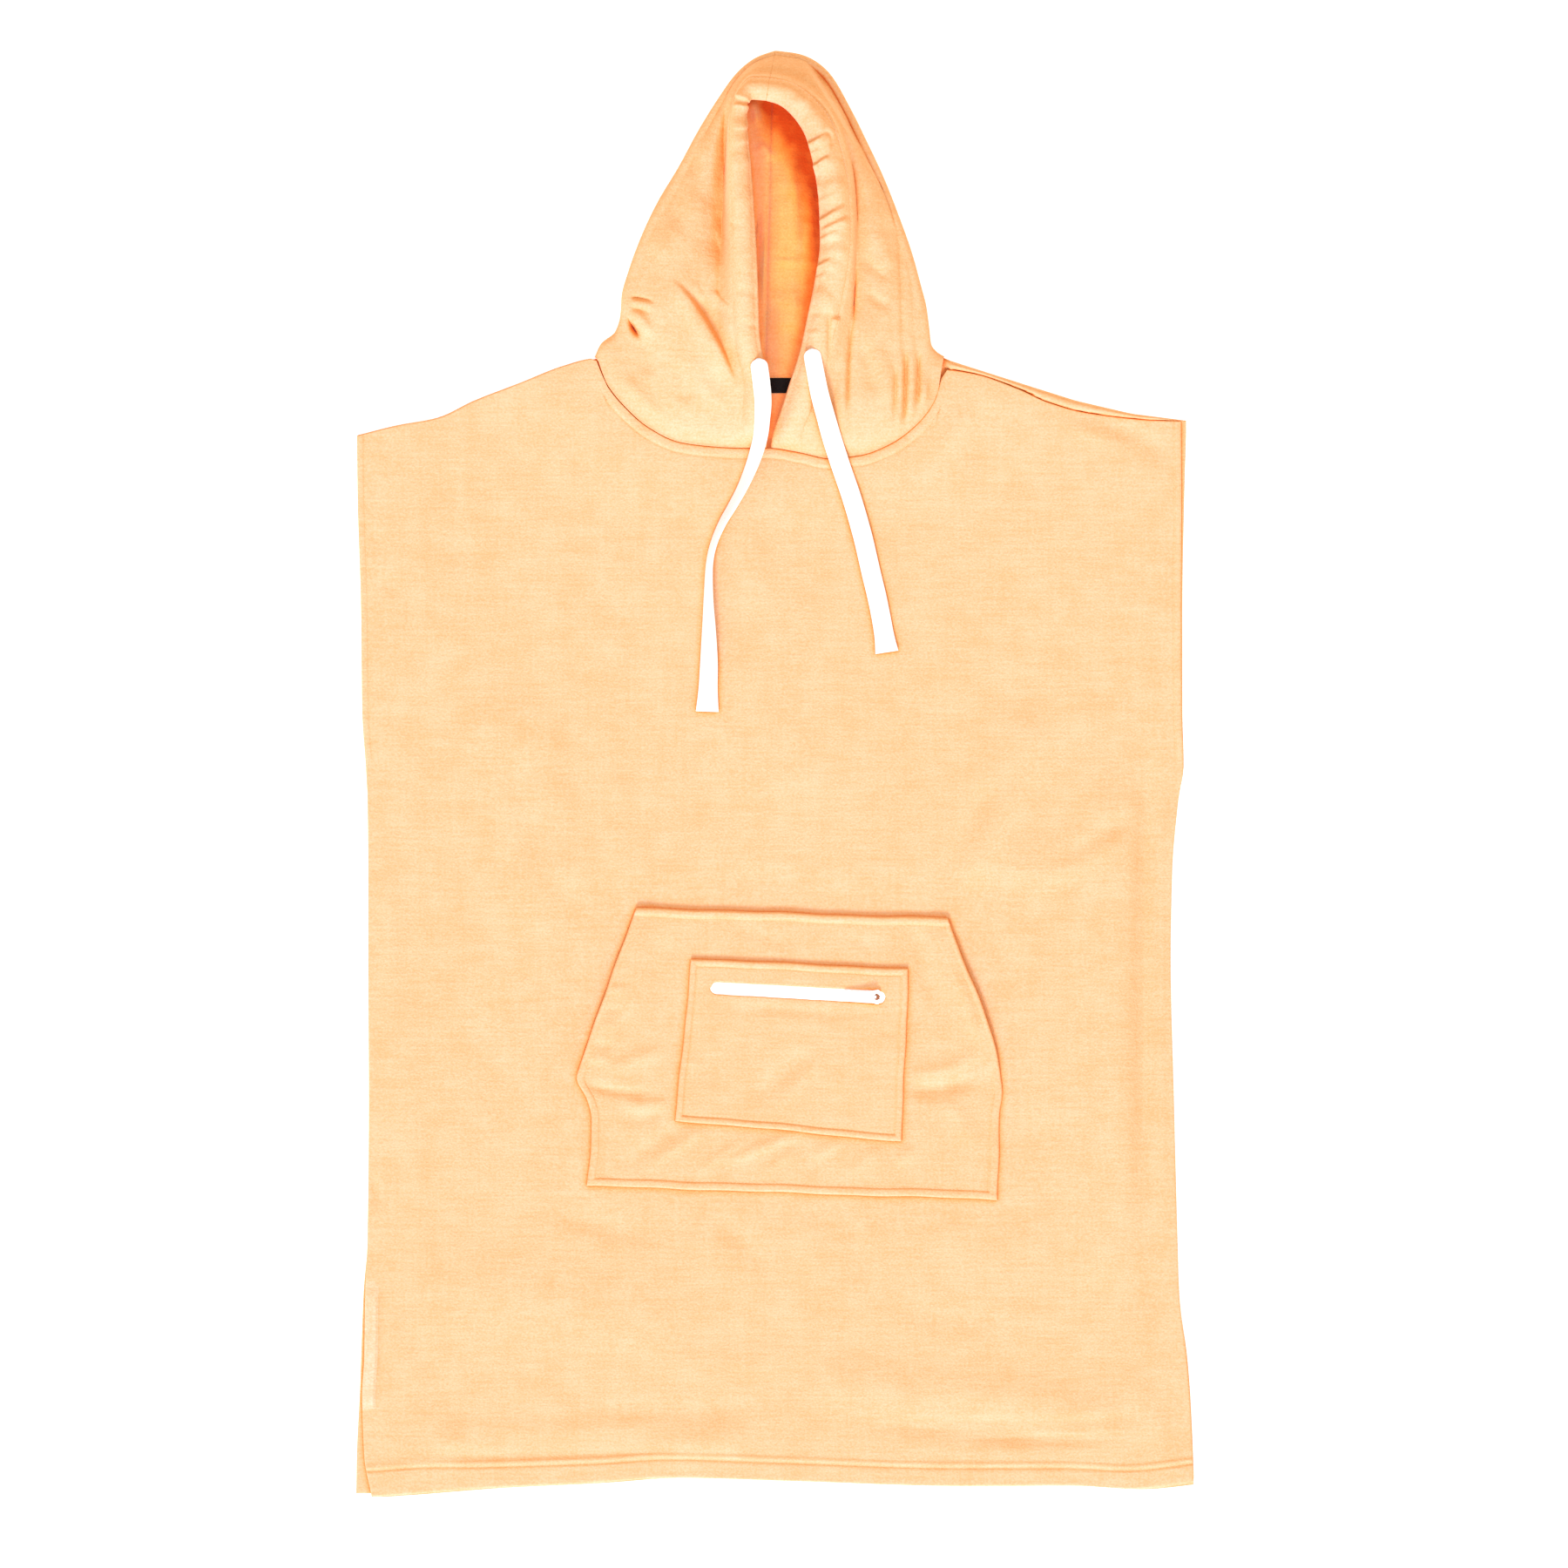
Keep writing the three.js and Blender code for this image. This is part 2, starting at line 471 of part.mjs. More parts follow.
// Height of the hood's upper layer at a share of the panel or the casing.
function hoodHeight(row, stations, share) {
  const heights = stations.map((station) => ({ at: station.at, z: row[station.height] }));
  return read(heights, "at", "z", share);
}

function hoodRow(table, v) {
  const row = {};
  for (const column of Object.keys(table[0])) row[column] = read(table, "v", column, v);
  return row;
}

// Place of the centre back seam at a given y.
function centreBackAt(y) {
  const c = CENTRE_BACK;
  const share = clamp((y - c.neckY) / (c.crownY - c.neckY), 0, 1);
  return new THREE.Vector2(lerp(c.neckX, c.crownX, share), y);
}

// How far the gathers raise the casing's outer face.
function gatherAt(sideName, y, casingShare) {
  let height = 0;
  for (const gather of GATHERS) {
    const aside = (y - gather.y) / GATHER_WIDTH;
    if (gather.side === sideName) height += gather.height * Math.exp(-aside * aside);
  }
  return height * Math.sin(Math.PI * casingShare);
}

// Middle points of one row of the hood, from the centre back below, round the side fold, and on top to the
// opening's edge, each with the wall's thickness there and the height of the gathers on its outer face.
function hoodRowPoints(table, v, sideName) {
  const row = hoodRow(table, v);
  const neck = table[0];
  const half = CLOTH / 2;
  const atNeck = v === 0;
  const side = new THREE.Vector2(row.sideX, row.sideY);
  const front = new THREE.Vector2(row.frontX, row.frontY);
  const back = centreBackAt(row.backY);
  const clearOfBack = (p) => {
    if (atNeck) p.y = Math.max(p.y, backNeckY(p.x) + BACK_NECK.clear);
    return p;
  };
  const seamSag = (s) => {
    const x = lerp(neck.sideX, neck.frontX, s);
    return along(FRONT_TOP_EDGE, x) + SEAM_GAP - lerp(neck.sideY, neck.frontY, s);
  };
  const onTop = (s) => {
    const p = side.clone().lerp(front, s);
    p.y += row.sag * seamSag(s) * smooth(s / HOOD_GROWTH.sag);
    return p;
  };
  const radius = (row.fold - half) / 2;
  const foldShare = radius / side.distanceTo(front);
  const foldTop = onTop(foldShare);
  const foldLow = clearOfBack(side.clone().lerp(back, radius / side.distanceTo(back)));
  const points = [];
  const push = (p, z, thick = CLOTH, gather = 0) => points.push({ x: p.x, y: p.y, z, thick, gather });

  for (let j = 0; j < HOOD_COLUMNS.back; j += 1) {
    push(clearOfBack(back.clone().lerp(foldLow, j / HOOD_COLUMNS.back)), half);
  }
  for (let j = 0; j <= HOOD_COLUMNS.fold; j += 1) {
    const turn = Math.PI * (j / HOOD_COLUMNS.fold - 0.5);
    const end = turn < 0 ? foldLow : foldTop;
    push(side.clone().lerp(end, 1 - Math.cos(turn)), half + radius * (1 + Math.sin(turn)));
  }

  const foldsOn = (p) => foldsAt(HOOD_FOLDS, p.x, p.y) * smooth(v / HOOD_GROWTH.folds);
  const seamHeight = (p) => frontTop(p.x, p.y) - half;
  const casingStart = 1 - row.casing / side.distanceTo(front);
  for (let j = 1; j <= HOOD_COLUMNS.panel; j += 1) {
    const share = j / HOOD_COLUMNS.panel;
    const p = onTop(lerp(foldShare, casingStart, share));
    const folds = foldsOn(p) * smooth(share / HOOD_GROWTH.panel);
    push(p, atNeck ? seamHeight(p) : hoodHeight(row, PANEL_STATIONS, share) + folds);
  }
  for (let j = 1; j <= HOOD_COLUMNS.casing; j += 1) {
    const share = j / HOOD_COLUMNS.casing;
    const p = onTop(lerp(casingStart, 1, share));
    const puff = CASING_PUFF * smooth(v / HOOD_GROWTH.puff) * Math.sin(Math.PI * Math.min(PUFF_END, share));
    const z = atNeck ? seamHeight(p) : hoodHeight(row, CASING_STATIONS, share) + foldsOn(p);
    push(p, z, CLOTH + puff, gatherAt(sideName, p.y, share));
  }
  return points;
}

// One half of the hood: a wall about its middle points that bends from the lower layer to the upper one.
function hoodHalf(table, sideName) {
  const shift = (sideName === "left" ? -SEAM_GAP : SEAM_GAP) / 2;
  const grid = evenly(HOOD_ROWS).map((v) => hoodRowPoints(table, v, sideName));
  const rows = grid.length;
  const columns = grid[0].length;
  const at = (i, j) => {
    const p = grid[clamp(i, 0, rows - 1)][clamp(j, 0, columns - 1)];
    return new THREE.Vector3(p.x, p.y, p.z);
  };
  const turn = sideName === "left" ? 1 : -1;
  const firstTop = HOOD_COLUMNS.back + HOOD_COLUMNS.fold;
  const upper = [];
  const lower = [];
  for (let i = 0; i < rows; i += 1) {
    upper.push([]);
    lower.push([]);
    for (let j = 0; j < columns; j += 1) {
      const p = grid[i][j];
      const acrossRow = at(i, j + 1).sub(at(i, j - 1));
      const alongHood = at(i + 1, j).sub(at(i - 1, j));
      const normal = acrossRow.cross(alongHood).multiplyScalar(turn);
      if (j === 0) normal.set(0, 0, -1);
      if (i === 0 && j >= firstTop) normal.set(0, 0, 1);
      if (i === rows - 1) normal.x = 0;
      normal.normalize();
      const middle = new THREE.Vector3(p.x + shift, p.y, p.z);
      upper[i].push(middle.clone().addScaledVector(normal, p.thick / 2 + p.gather));
      lower[i].push(middle.clone().addScaledVector(normal, -p.thick / 2));
    }
  }
  return wall(upper, lower);
}

const POCKET_BASE = FRONT_BASE + CLOTH + SEAM_GAP;

function kangarooPocket() {
  const planAt = (u, v) => {
    const left = read(POCKET_SIDES, "v", "left", v);
    const right = read(POCKET_SIDES, "v", "right", v);
    const bottom = lerp(POCKET_BOTTOM.left, POCKET_BOTTOM.right, u);
    const top = lerp(POCKET_TOP.left, POCKET_TOP.right, u);
    return { x: lerp(left, right, u), y: lerp(bottom, top, v) };
  };
  const liftAt = (plan, u, v) => {
    const m = POCKET_MOUTH;
    const alongMouth = clamp((v - m.low) / (1 - m.low), 0, 1);
    const fromMouth = Math.min(u, 1 - u) / m.reach;
    return POCKET_BASE + m.lift * Math.sin(Math.PI * alongMouth) * (1 - smooth(fromMouth));
  };
  return laidSheet(evenly(POCKET_COLUMNS), POCKET_ROWS, planAt, liftAt);
}

const PATCH_BASE = POCKET_BASE + CLOTH + SEAM_GAP;

function patchPocket() {
  const shape = new THREE.Shape(PATCH_CORNERS.map((p) => new THREE.Vector2(p.x, p.y)));
  const slot = new THREE.Path();
  const cos = Math.cos(ZIP.tilt);
  const sin = Math.sin(ZIP.tilt);
  const halfLength = ZIP.length / 2;
  const halfWidth = ZIP.width / 2;
  const cut = SLOT_CORNER;
  const corners = [
    [-halfLength + cut, -halfWidth],
    [-halfLength, -halfWidth + cut],
    [-halfLength, halfWidth - cut],
    [-halfLength + cut, halfWidth],
    [halfLength - cut, halfWidth],
    [halfLength, halfWidth - cut],
    [halfLength, -halfWidth + cut],
    [halfLength - cut, -halfWidth],
  ];
  slot.setFromPoints(corners.map(([x, y]) => new THREE.Vector2(
    ZIP.x + x * cos - y * sin,
    ZIP.y + x * sin + y * cos,
  )));
  shape.holes.push(slot);
  const geometry = new THREE.ExtrudeGeometry(shape, { depth: CLOTH, bevelEnabled: false });
  return geometry.translate(0, 0, PATCH_BASE);
}

// The zip's tape with its closed chain as a ridge, as a section drawn out along the zip.
function zipTape() {
  const halfWidth = ZIP.width / 2 - SEAM_GAP;
  const halfChain = CHAIN.width / 2;
  const section = [
    [-halfWidth, 0],
    [halfWidth, 0],
    [halfWidth, TAPE],
    [halfChain, TAPE],
    [halfChain - CHAIN.slope, CHAIN.top],
    [CHAIN.slope - halfChain, CHAIN.top],
    [-halfChain, TAPE],
    [-halfWidth, TAPE],
  ];
  const length = ZIP.length - 2 * ZIP.endGap;
  const shape = new THREE.Shape(section.map(([x, y]) => new THREE.Vector2(x, y)));
  const geometry = new THREE.ExtrudeGeometry(shape, { depth: length, bevelEnabled: false });
  return geometry.translate(0, 0, -length / 2).rotateX(Math.PI / 2).rotateZ(Math.PI / 2);
}

const MERGE_DISTANCE = 1e-4;

// A geometry as a solid that can be joined to another.
function solidOf(geometry) {
  const plain = geometry.clone();
  plain.deleteAttribute("normal");
  plain.deleteAttribute("uv");
  const merged = mergeVertices(plain, MERGE_DISTANCE);
  const index = merged.index.array;
  const mesh = new wasm.Mesh({
    numProp: 3,
    vertProperties: merged.attributes.position.array,
    triVerts: new Uint32Array(index),
  });
  return new wasm.Manifold(mesh);
}

function joined(first, second) {
  const mesh = solidOf(first).add(solidOf(second)).getMesh();
  const geometry = new THREE.BufferGeometry();
  geometry.setAttribute("position", new THREE.BufferAttribute(mesh.vertProperties, 3));
  geometry.setIndex(new THREE.BufferAttribute(mesh.triVerts, 1));
  return geometry;
}

// The slider's top plate with the bridge that holds the pull, in the zip's own frame.
const SLIDER_BASE = CHAIN.top + SEAM_GAP;
const SLIDER_TOP = SLIDER_BASE + SLIDER.plate;
const PULL_AXIS_Z = SLIDER_TOP + PULL.axisRise;

function sliderPlate() {
  const profile = new THREE.Shape();
  const halfLength = SLIDER.length / 2;
  profile.moveTo(-halfLength, SLIDER_BASE);
  profile.lineTo(halfLength, SLIDER_BASE);
  profile.lineTo(halfLength, SLIDER_TOP - SLIDER.bevelDrop);
  profile.lineTo(halfLength - SLIDER.bevelRun, SLIDER_TOP);
  profile.lineTo(SLIDER.bevelRun - halfLength, SLIDER_TOP);
  profile.lineTo(-halfLength, SLIDER_TOP - SLIDER.bevelDrop);
  profile.closePath();
  const plate = new THREE.ExtrudeGeometry(profile, { depth: SLIDER.width, bevelEnabled: false });
  return plate.translate(0, 0, -SLIDER.width / 2).rotateX(Math.PI / 2);
}

// The bridge as a half ring with feet sunk in the plate, and an open arch for the pull's crossbar.
function sliderBridge() {
  const outline = new THREE.Shape();
  const foot = SLIDER_TOP - SLIDER.plate / 2;
  outline.moveTo(-BRIDGE.outer, foot);
  outline.lineTo(-BRIDGE.inner, foot);
  outline.lineTo(-BRIDGE.inner, PULL_AXIS_Z);
  outline.absarc(0, PULL_AXIS_Z, BRIDGE.inner, Math.PI, 0, true);
  outline.lineTo(BRIDGE.inner, foot);
  outline.lineTo(BRIDGE.outer, foot);
  outline.lineTo(BRIDGE.outer, PULL_AXIS_Z);
  outline.absarc(0, PULL_AXIS_Z, BRIDGE.outer, 0, Math.PI, false);
  const settings = { depth: BRIDGE.width, bevelEnabled: false, curveSegments: 8 };
  const arch = new THREE.ExtrudeGeometry(outline, settings);
  return arch.translate(0, 0, -BRIDGE.width / 2).rotateX(Math.PI / 2);
}

// The pull lies along -X from its crossbar, which passes under the bridge.
function pullTab() {
  const halfWidth = PULL.width / 2;
  const bar = PULL.thickness / 2;
  const outline = new THREE.Shape();
  outline.moveTo(bar, -halfWidth);
  outline.lineTo(bar, halfWidth);
  const tipX = PULL_TIP.start - PULL.length;
  const tipRadius = halfWidth - PULL_TIP.taper;
  outline.lineTo(tipX, tipRadius);
  outline.absarc(tipX, 0, tipRadius, Math.PI / 2, (3 * Math.PI) / 2, false);
  const eye = new THREE.Path();
  const halfEye = halfWidth - PULL_EYE.arm;
  eye.moveTo(-bar, -halfEye);
  eye.lineTo(-PULL_EYE.length, -halfEye);
  eye.lineTo(-PULL_EYE.length, halfEye);
  eye.lineTo(-bar, halfEye);
  eye.closePath();
  const tip = new THREE.Path();
  tip.absarc(PULL_TIP.holeInset - PULL.length, 0, PULL_TIP.holeRadius, 0, Math.PI * 2, false);
  outline.holes.push(eye, tip);
  const settings = { depth: PULL.thickness, bevelEnabled: false, curveSegments: 8 };
  const tab = new THREE.ExtrudeGeometry(outline, settings);
  return tab.translate(0, 0, -bar).rotateY(-PULL.tilt);
}

// A flat cord's middle line, whose section lies flat, turns on edge and widens as its route says.
class FlatCordPath extends THREE.CatmullRomCurve3 {
  constructor(route) {
    super(route.map((p) => new THREE.Vector3(p.x, p.y, p.z)), false, "centripetal");
    this.route = route;
  }

  routeValue(column, share) {
    const place = this.getUtoTmapping(share) * (this.route.length - 1);
    const i = Math.min(Math.floor(place), this.route.length - 2);
    return lerp(this.route[i][column], this.route[i + 1][column], place - i);
  }

  computeFrenetFrames(steps) {
    const frames = { tangents: [], normals: [], binormals: [] };
    const up = new THREE.Vector3(0, 0, 1);
    for (let i = 0; i <= steps; i += 1) {
      const tangent = this.getTangentAt(i / steps);
      const across = new THREE.Vector3().crossVectors(tangent, up).normalize();
      across.applyAxisAngle(tangent, THREE.MathUtils.degToRad(this.routeValue("turn", i / steps)));
      const through = new THREE.Vector3().crossVectors(tangent, across).normalize();
      frames.tangents.push(tangent);
      frames.normals.push(across.multiplyScalar(this.routeValue("wide", i / steps)));
      frames.binormals.push(through);
    }
    return frames;
  }
}

function flatCord(route) {
  const w = CORD_WIDTH / 2;
  const t = CORD_THICKNESS / 2;
  const section = [
    [w, -t / 2],
    [w, t / 2],
    [w - t, t],
    [t - w, t],
    [-w, t / 2],
    [-w, -t / 2],
    [t - w, -t],
    [w - t, -t],
  ];
  const shape = new THREE.Shape(section.map(([x, y]) => new THREE.Vector2(x, y)));
  return new THREE.ExtrudeGeometry(shape, { steps: CORD_STEPS, extrudePath: new FlatCordPath(route) });
}

function neckLabel() {
  const label = new THREE.BoxGeometry(LABEL.width, LABEL.height, LABEL.thickness);
  return label.translate(LABEL.x, LABEL.y, BACK_TOP + SEAM_GAP + LABEL.thickness / 2);
}

function terry() {
  return new THREE.MeshStandardMaterial({ color: PEACH, roughness: 0.95, metalness: 0 });
}

function whiteCotton() {
  return new THREE.MeshStandardMaterial({ color: WHITE, roughness: 0.85, metalness: 0 });
}

function whiteEnamel() {
  return new THREE.MeshStandardMaterial({ color: WHITE, roughness: 0.35, metalness: 0 });
}

function blackSatin() {
  return new THREE.MeshStandardMaterial({ color: BLACK, roughness: 0.5, metalness: 0 });
}

function piece(name, geometry, material) {
  const mesh = new THREE.Mesh(geometry, material);
  mesh.name = name;
  return mesh;
}

function zip() {
  const group = new THREE.Group();
  group.position.set(ZIP.x, ZIP.y, PATCH_BASE);
  group.rotation.z = ZIP.tilt;
  const slider = new THREE.Group();
  slider.position.x = SLIDER.x;
  const pull = piece("zip_pull", pullTab(), whiteEnamel());
  pull.position.z = PULL_AXIS_Z;
  slider.add(
    piece("zip_slider", joined(sliderPlate(), sliderBridge()), whiteEnamel()),
    pull,
  );
  group.add(piece("zip_tape", zipTape(), whiteCotton()), slider);
  return group;
}

const poncho = new THREE.Group();
poncho.add(
  piece("body_back", backPanel(), terry()),
  piece("body_front", frontPanel(), terry()),
  piece("hood_left", hoodHalf(HOOD_LEFT_ROWS, "left"), terry()),
  piece("hood_right", hoodHalf(HOOD_RIGHT_ROWS, "right"), terry()),
  piece("kangaroo_pocket", kangarooPocket(), terry()),
  piece("patch_pocket", patchPocket(), terry()),
  piece("neck_label", neckLabel(), blackSatin()),
  piece("drawcord_left", flatCord(CORD_LEFT_ROUTE), whiteCotton()),
  piece("drawcord_right", flatCord(CORD_RIGHT_ROUTE), whiteCotton()),
  zip(),
);

export default poncho;
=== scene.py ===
# A hooded bath poncho in peach terry, laid face up, with its hood above the shoulders.
# Sizes are in millimetres in the frame's own axes: +X to the right, +Y towards the hood, +Z up.
# Each mesh is turned into metres when it is made.
import math

import bmesh
import bpy
import numpy as np
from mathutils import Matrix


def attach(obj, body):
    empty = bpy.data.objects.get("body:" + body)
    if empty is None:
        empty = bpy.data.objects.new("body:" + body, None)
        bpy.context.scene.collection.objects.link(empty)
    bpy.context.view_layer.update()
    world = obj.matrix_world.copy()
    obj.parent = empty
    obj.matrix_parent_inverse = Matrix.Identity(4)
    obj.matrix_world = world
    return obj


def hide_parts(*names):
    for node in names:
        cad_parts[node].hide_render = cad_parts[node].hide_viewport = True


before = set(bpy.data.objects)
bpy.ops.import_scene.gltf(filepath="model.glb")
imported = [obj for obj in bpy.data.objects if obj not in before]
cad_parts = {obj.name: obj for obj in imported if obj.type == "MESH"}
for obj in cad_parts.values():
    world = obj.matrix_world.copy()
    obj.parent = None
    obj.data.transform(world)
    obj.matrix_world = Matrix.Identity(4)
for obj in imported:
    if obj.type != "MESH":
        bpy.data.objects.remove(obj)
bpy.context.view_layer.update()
scene = bpy.context.scene
MM = 0.001

# Driving sizes, the first ones as in the frame's solids
CLOTH = 2.4
SEAM_GAP = 0.3
FRONT_BASE = CLOTH + SEAM_GAP
POCKET_BASE = FRONT_BASE + CLOTH + SEAM_GAP
PATCH_BASE = POCKET_BASE + CLOTH + SEAM_GAP
NECK_LIFT = 3
NECK_CENTRE = {"x": -5, "y": 381, "half_width": 160, "depth": 88, "seam": 1.15}
NECK_LIFT_REACH = 70
FRONT_REST_LIFT = 0.8
FRONT_EDGE = {"left": -383, "right": 384, "bottom": -655, "top": 390, "fade": 40}
FLAT_ZONE = {"left": -186, "right": 213, "bottom": -396, "top": -118, "margin": 34, "creases": 12}
SEAM_EASE = 0.05
NECK_OVERLAP = 0.9
BACK_NECK = {"middle_x": -8, "middle_y": 364.4, "rise": 16.8, "half_width": 160, "clear": -0.2}
BACK_HEM_SET_IN = 3
CASING_PUFF = 5
GATHER_HEIGHT = 0.8
CENTRE_BACK = {"neck_x": -9.5, "neck_y": 364.4, "crown_x": -2, "crown_y": 648}
CORD_WIDTH = 17.6
CORD_THICKNESS = 3
LABEL = {"x": -9, "y": 356.6, "width": 56, "height": 14}
ZIP = {"x": 20.8, "y": -200.6, "tilt": -0.0535, "length": 160, "width": 11, "end_gap": 2.4}
SLOT_END = 7
TAPE = 1
TAPE_TUCK = 0.6
CHAIN = {"width": 5, "top": 2.5, "pitch": 1.3}
COIL = {"half_width": 0.56, "half_height": 0.62, "sides": 8, "under_top": 0.7, "crown": 0.35}
SLIDER = {"x": 68, "length": 15, "width": 13.5, "plate": 2.4, "corner": 2.6, "bevel": 0.7}
SLIDER_REAR = {"end": 0.52, "shoulder": 0.74, "shoulder_at": 0.3}
BRIDGE = {"width": 2.6, "inner": 2.7, "outer": 4.2, "feet": 1.4, "bevel": 0.4}
PULL = {"length": 26, "width": 9.6, "thickness": 1.6, "tilt": 0.11, "axis_rise": 2, "bevel": 0.4}
PULL_EYE = {"end": 5.6, "side": 2}
KEYHOLE = {"x": 0.6, "radius": 1.7, "turn": 345}
SLIDER_BASE = CHAIN["top"] + SEAM_GAP
PULL_AXIS = SLIDER_BASE + SLIDER["plate"] + PULL["axis_rise"]
RUST = {"x": 4.5, "z": 13.6, "radius": 4.4, "edge": 1.0, "ragged": 2.4}

# Columns of the grid over half the hood, from the centre back to the opening
HOOD_COUNT = {"back": 28, "fold": 12, "panel": 60, "casing": 44}
FIRST_TOP = HOOD_COUNT["back"] + HOOD_COUNT["fold"] + 1
FIRST_CASING = FIRST_TOP + HOOD_COUNT["panel"]
CASING_STITCH = FIRST_CASING + 1

# Stitches, and the rings of one along its length: where each is, and its share of the full size
STITCH = {"length": 2.7, "pitch": 3.5, "width": 0.62, "height": 0.5}
STITCH_RINGS = ((-0.5, 0.25), (-0.32, 0.85), (0, 1), (0.32, 0.85), (0.5, 0.25))
STITCH_SIDES = 6
STITCH_SINK = 0.15

# Seams: the stitch line's distance from the edge, the height to which the edge swells, and the depth
# and width of the furrow along the stitches. The casing's is counted in columns of the hood's grid.
NECK_SEAM = {"inset": 8.6, "swell": 0.9, "depth": 0.35, "width": 1.2}
ARMHOLE_SEAM = {"inset": 6.4, "swell": 0.6, "depth": 0.3, "width": 1.1}
ARMHOLE_END = 7
POCKET_HEM = {"inset": 7.4, "swell": 1.9, "depth": 0.4, "width": 1.0}
POCKET_FOOT = {"inset": 8, "swell": 1.3, "depth": 0.6, "width": 1.1}
POCKET_SIDE = {"inset": 8, "swell": 1.1, "depth": 0.35, "width": 1.0}
MOUTH_EDGE = {"inset": 4.5, "swell": 0.8}
PATCH_SEAM = {"inset": 6.2, "swell": 1.1, "depth": 0.3, "width": 0.9}
BACK_HEM_SEAM = {"inset": 17.5, "depth": 0.7, "width": 1.2}
BACK_ARM_SEAM = {"inset": 6.4, "depth": 0.5, "width": 1.0}
CASING_SEAM = {"inset": CASING_STITCH, "depth": 0.9, "width": 1.3}
SEAM_FADE = {"neck": 6, "armhole": 10, "facing": 8}
HEM_FOLD = {"short": 1.2, "height": 0.5, "soft": 2.5, "depth": 0.35, "width": 1.6}
HEM_RIDGE = {"start": 1, "end": 5, "height": 0.7, "soft": 3}
FACING = {"width": 13, "top": -470, "bottom": -584, "height": 1.8, "depth": 0.6, "furrow": 1.0}
# Where bands of doubled cloth begin, outside the outline
OUTSIDE = -2
THINNEST = 0.15
RIM = 1.7
TOP_RIM = 1
POCKET_PULL = 1.1
POCKET_SWAY = 0.9
PATCH_SWAY = 0.8

# Grids: distances of their lines from a sewn edge, and the steps between
EDGE_NEAR = (0, 0.25, 0.7, 1.3, 2.1, 3.1, 4.2, 5.1, 5.8, 6.4, 7, 7.7, 8.4, 9.2, 10.4, 12.4)
SLOT_NEAR = (0, 0.3, 0.8, 1.5, 2.4, 3.2, 4, 5.2)
FRONT_HEM_NEAR = np.array([0, 0.25, 0.7, 1.3, 2.2, 4, 7, 10, 13, *np.arange(14.6, 27.5, 0.85), 29, 32])
FRONT_TOP_NEAR = np.array([0, 0.25, 0.7, 1.3, 2.2, 3.4, *np.arange(4.6, 20, 0.8), 21.5, 24])
BACK_HEM_NEAR = np.array((0, 0.25, 0.7, 1.3, 2.2, 4, 8, 12, 15, 16.2, 17, 17.8, 18.6, 19.4, 20.4, 22))
BACK_TOP_NEAR = np.array((0, 0.2, 0.5, 1, 1.7, 2.5, 3.4, 4.3, 5.2, 6.1, 7, 7.9, 8.8, 9.8, 11, 13, 17, 22))
BACK_ROWS = 130
FRONT_STEP = 5.2
BACK_STEP = 7
POCKET_STEP = 3.2
SLOT_STEP = 2.6
SLOT_SIDE_STEP = 2.4
CREASE_STEPS = 7
CREASE_FADE = 0.32

# Height of the small unevenness of each layer
LOOSE = {"back": 0.1, "hood": 0.21, "hood_fine": 0.09, "inside": 0.5, "pocket": 0.14, "patch": 0.1}

# Waves for the small unevenness of the cloth: direction, length, phase and weight of each
WAVES = np.random.default_rng(7).uniform(0, 1, (36, 4))

# The camera looks straight down on the middle of the photographed field
VIEW_X = 8
VIEW_Y = -9.2
VIEW_WIDTH = 1440
VIEW_DISTANCE = 8000
SENSOR = 36

# The floor, in metres
FLOOR = {"half": 6, "drop": 0.0004}


def table(columns, *rows):
    """Named columns of numbers, from listed rows."""
    return {name: np.array([row[i] for row in rows], float) for i, name in enumerate(columns.split())}


# Sides of the two panels, from the shoulder tips to the hem. The front's stand up to 1.1 mm further out
# than in its solid.
BODY_SIDES = table(
    "y back_left front_left front_right back_right",
    (311, -383.8, -384.1, 372.5, 377.2),
    (250, -383, -383.3, 372.8, 375.4),
    (150, -380, -380.3, 372.4, 373.8),
    (60, -379, -379.3, 372.8, 373.8),
    (7, -375.6, -375.9, 374.4, 375),
    (-25, -374, -374.3, 369.9, 369.6),
    (-90, -373.4, -373.7, 364.3, 364),
    (-170, -373.4, -373.7, 362.9, 362.6),
    (-300, -372.8, -373.1, 365.9, 365.6),
    (-425, -374, -374.3, 369.1, 368.8),
    (-475, -378, -376.4, 370.7, 370.4),
    (-537, -380.4, -377.4, 377.6, 378.4),
    (-570, -381.6, -379.2, 380.2, 381),
    (-625, -384.2, -377.6, 383, 383.6),
    (-664, -384.8, -370.4, 384.8, 384.8),
)

# Upper edge of the front: left shoulder, the neck seam and right shoulder
FRONT_TOP_EDGE = table(
    "x y",
    (-383, 310.8),
    (-346, 320),
    (-309.6, 326.8),
    (-275.2, 342.8),
    (-233.6, 358.8),
    (-192.8, 374.8),
    (-165.6, 381.2),
    (-154.4, 357.2),
    (-139.2, 338),
    (-116.8, 318),
    (-88.8, 304.4),
    (-61.6, 300.4),
    (-33.6, 298.8),
    (-5.6, 298.8),
    (21.6, 294.8),
    (49.6, 289.2),
    (77.6, 292),
    (104.8, 302),
    (127.2, 318),
    (144, 338),
    (151, 355),
    (155.2, 371),
    (180.8, 367.6),
    (223.2, 353.2),
    (248.8, 341.6),
    (285.6, 331.6),
    (340.8, 325.2),
    (372.5, 323.6),
)
NECK_LEFT = -165.6
NECK_RIGHT = 155.2

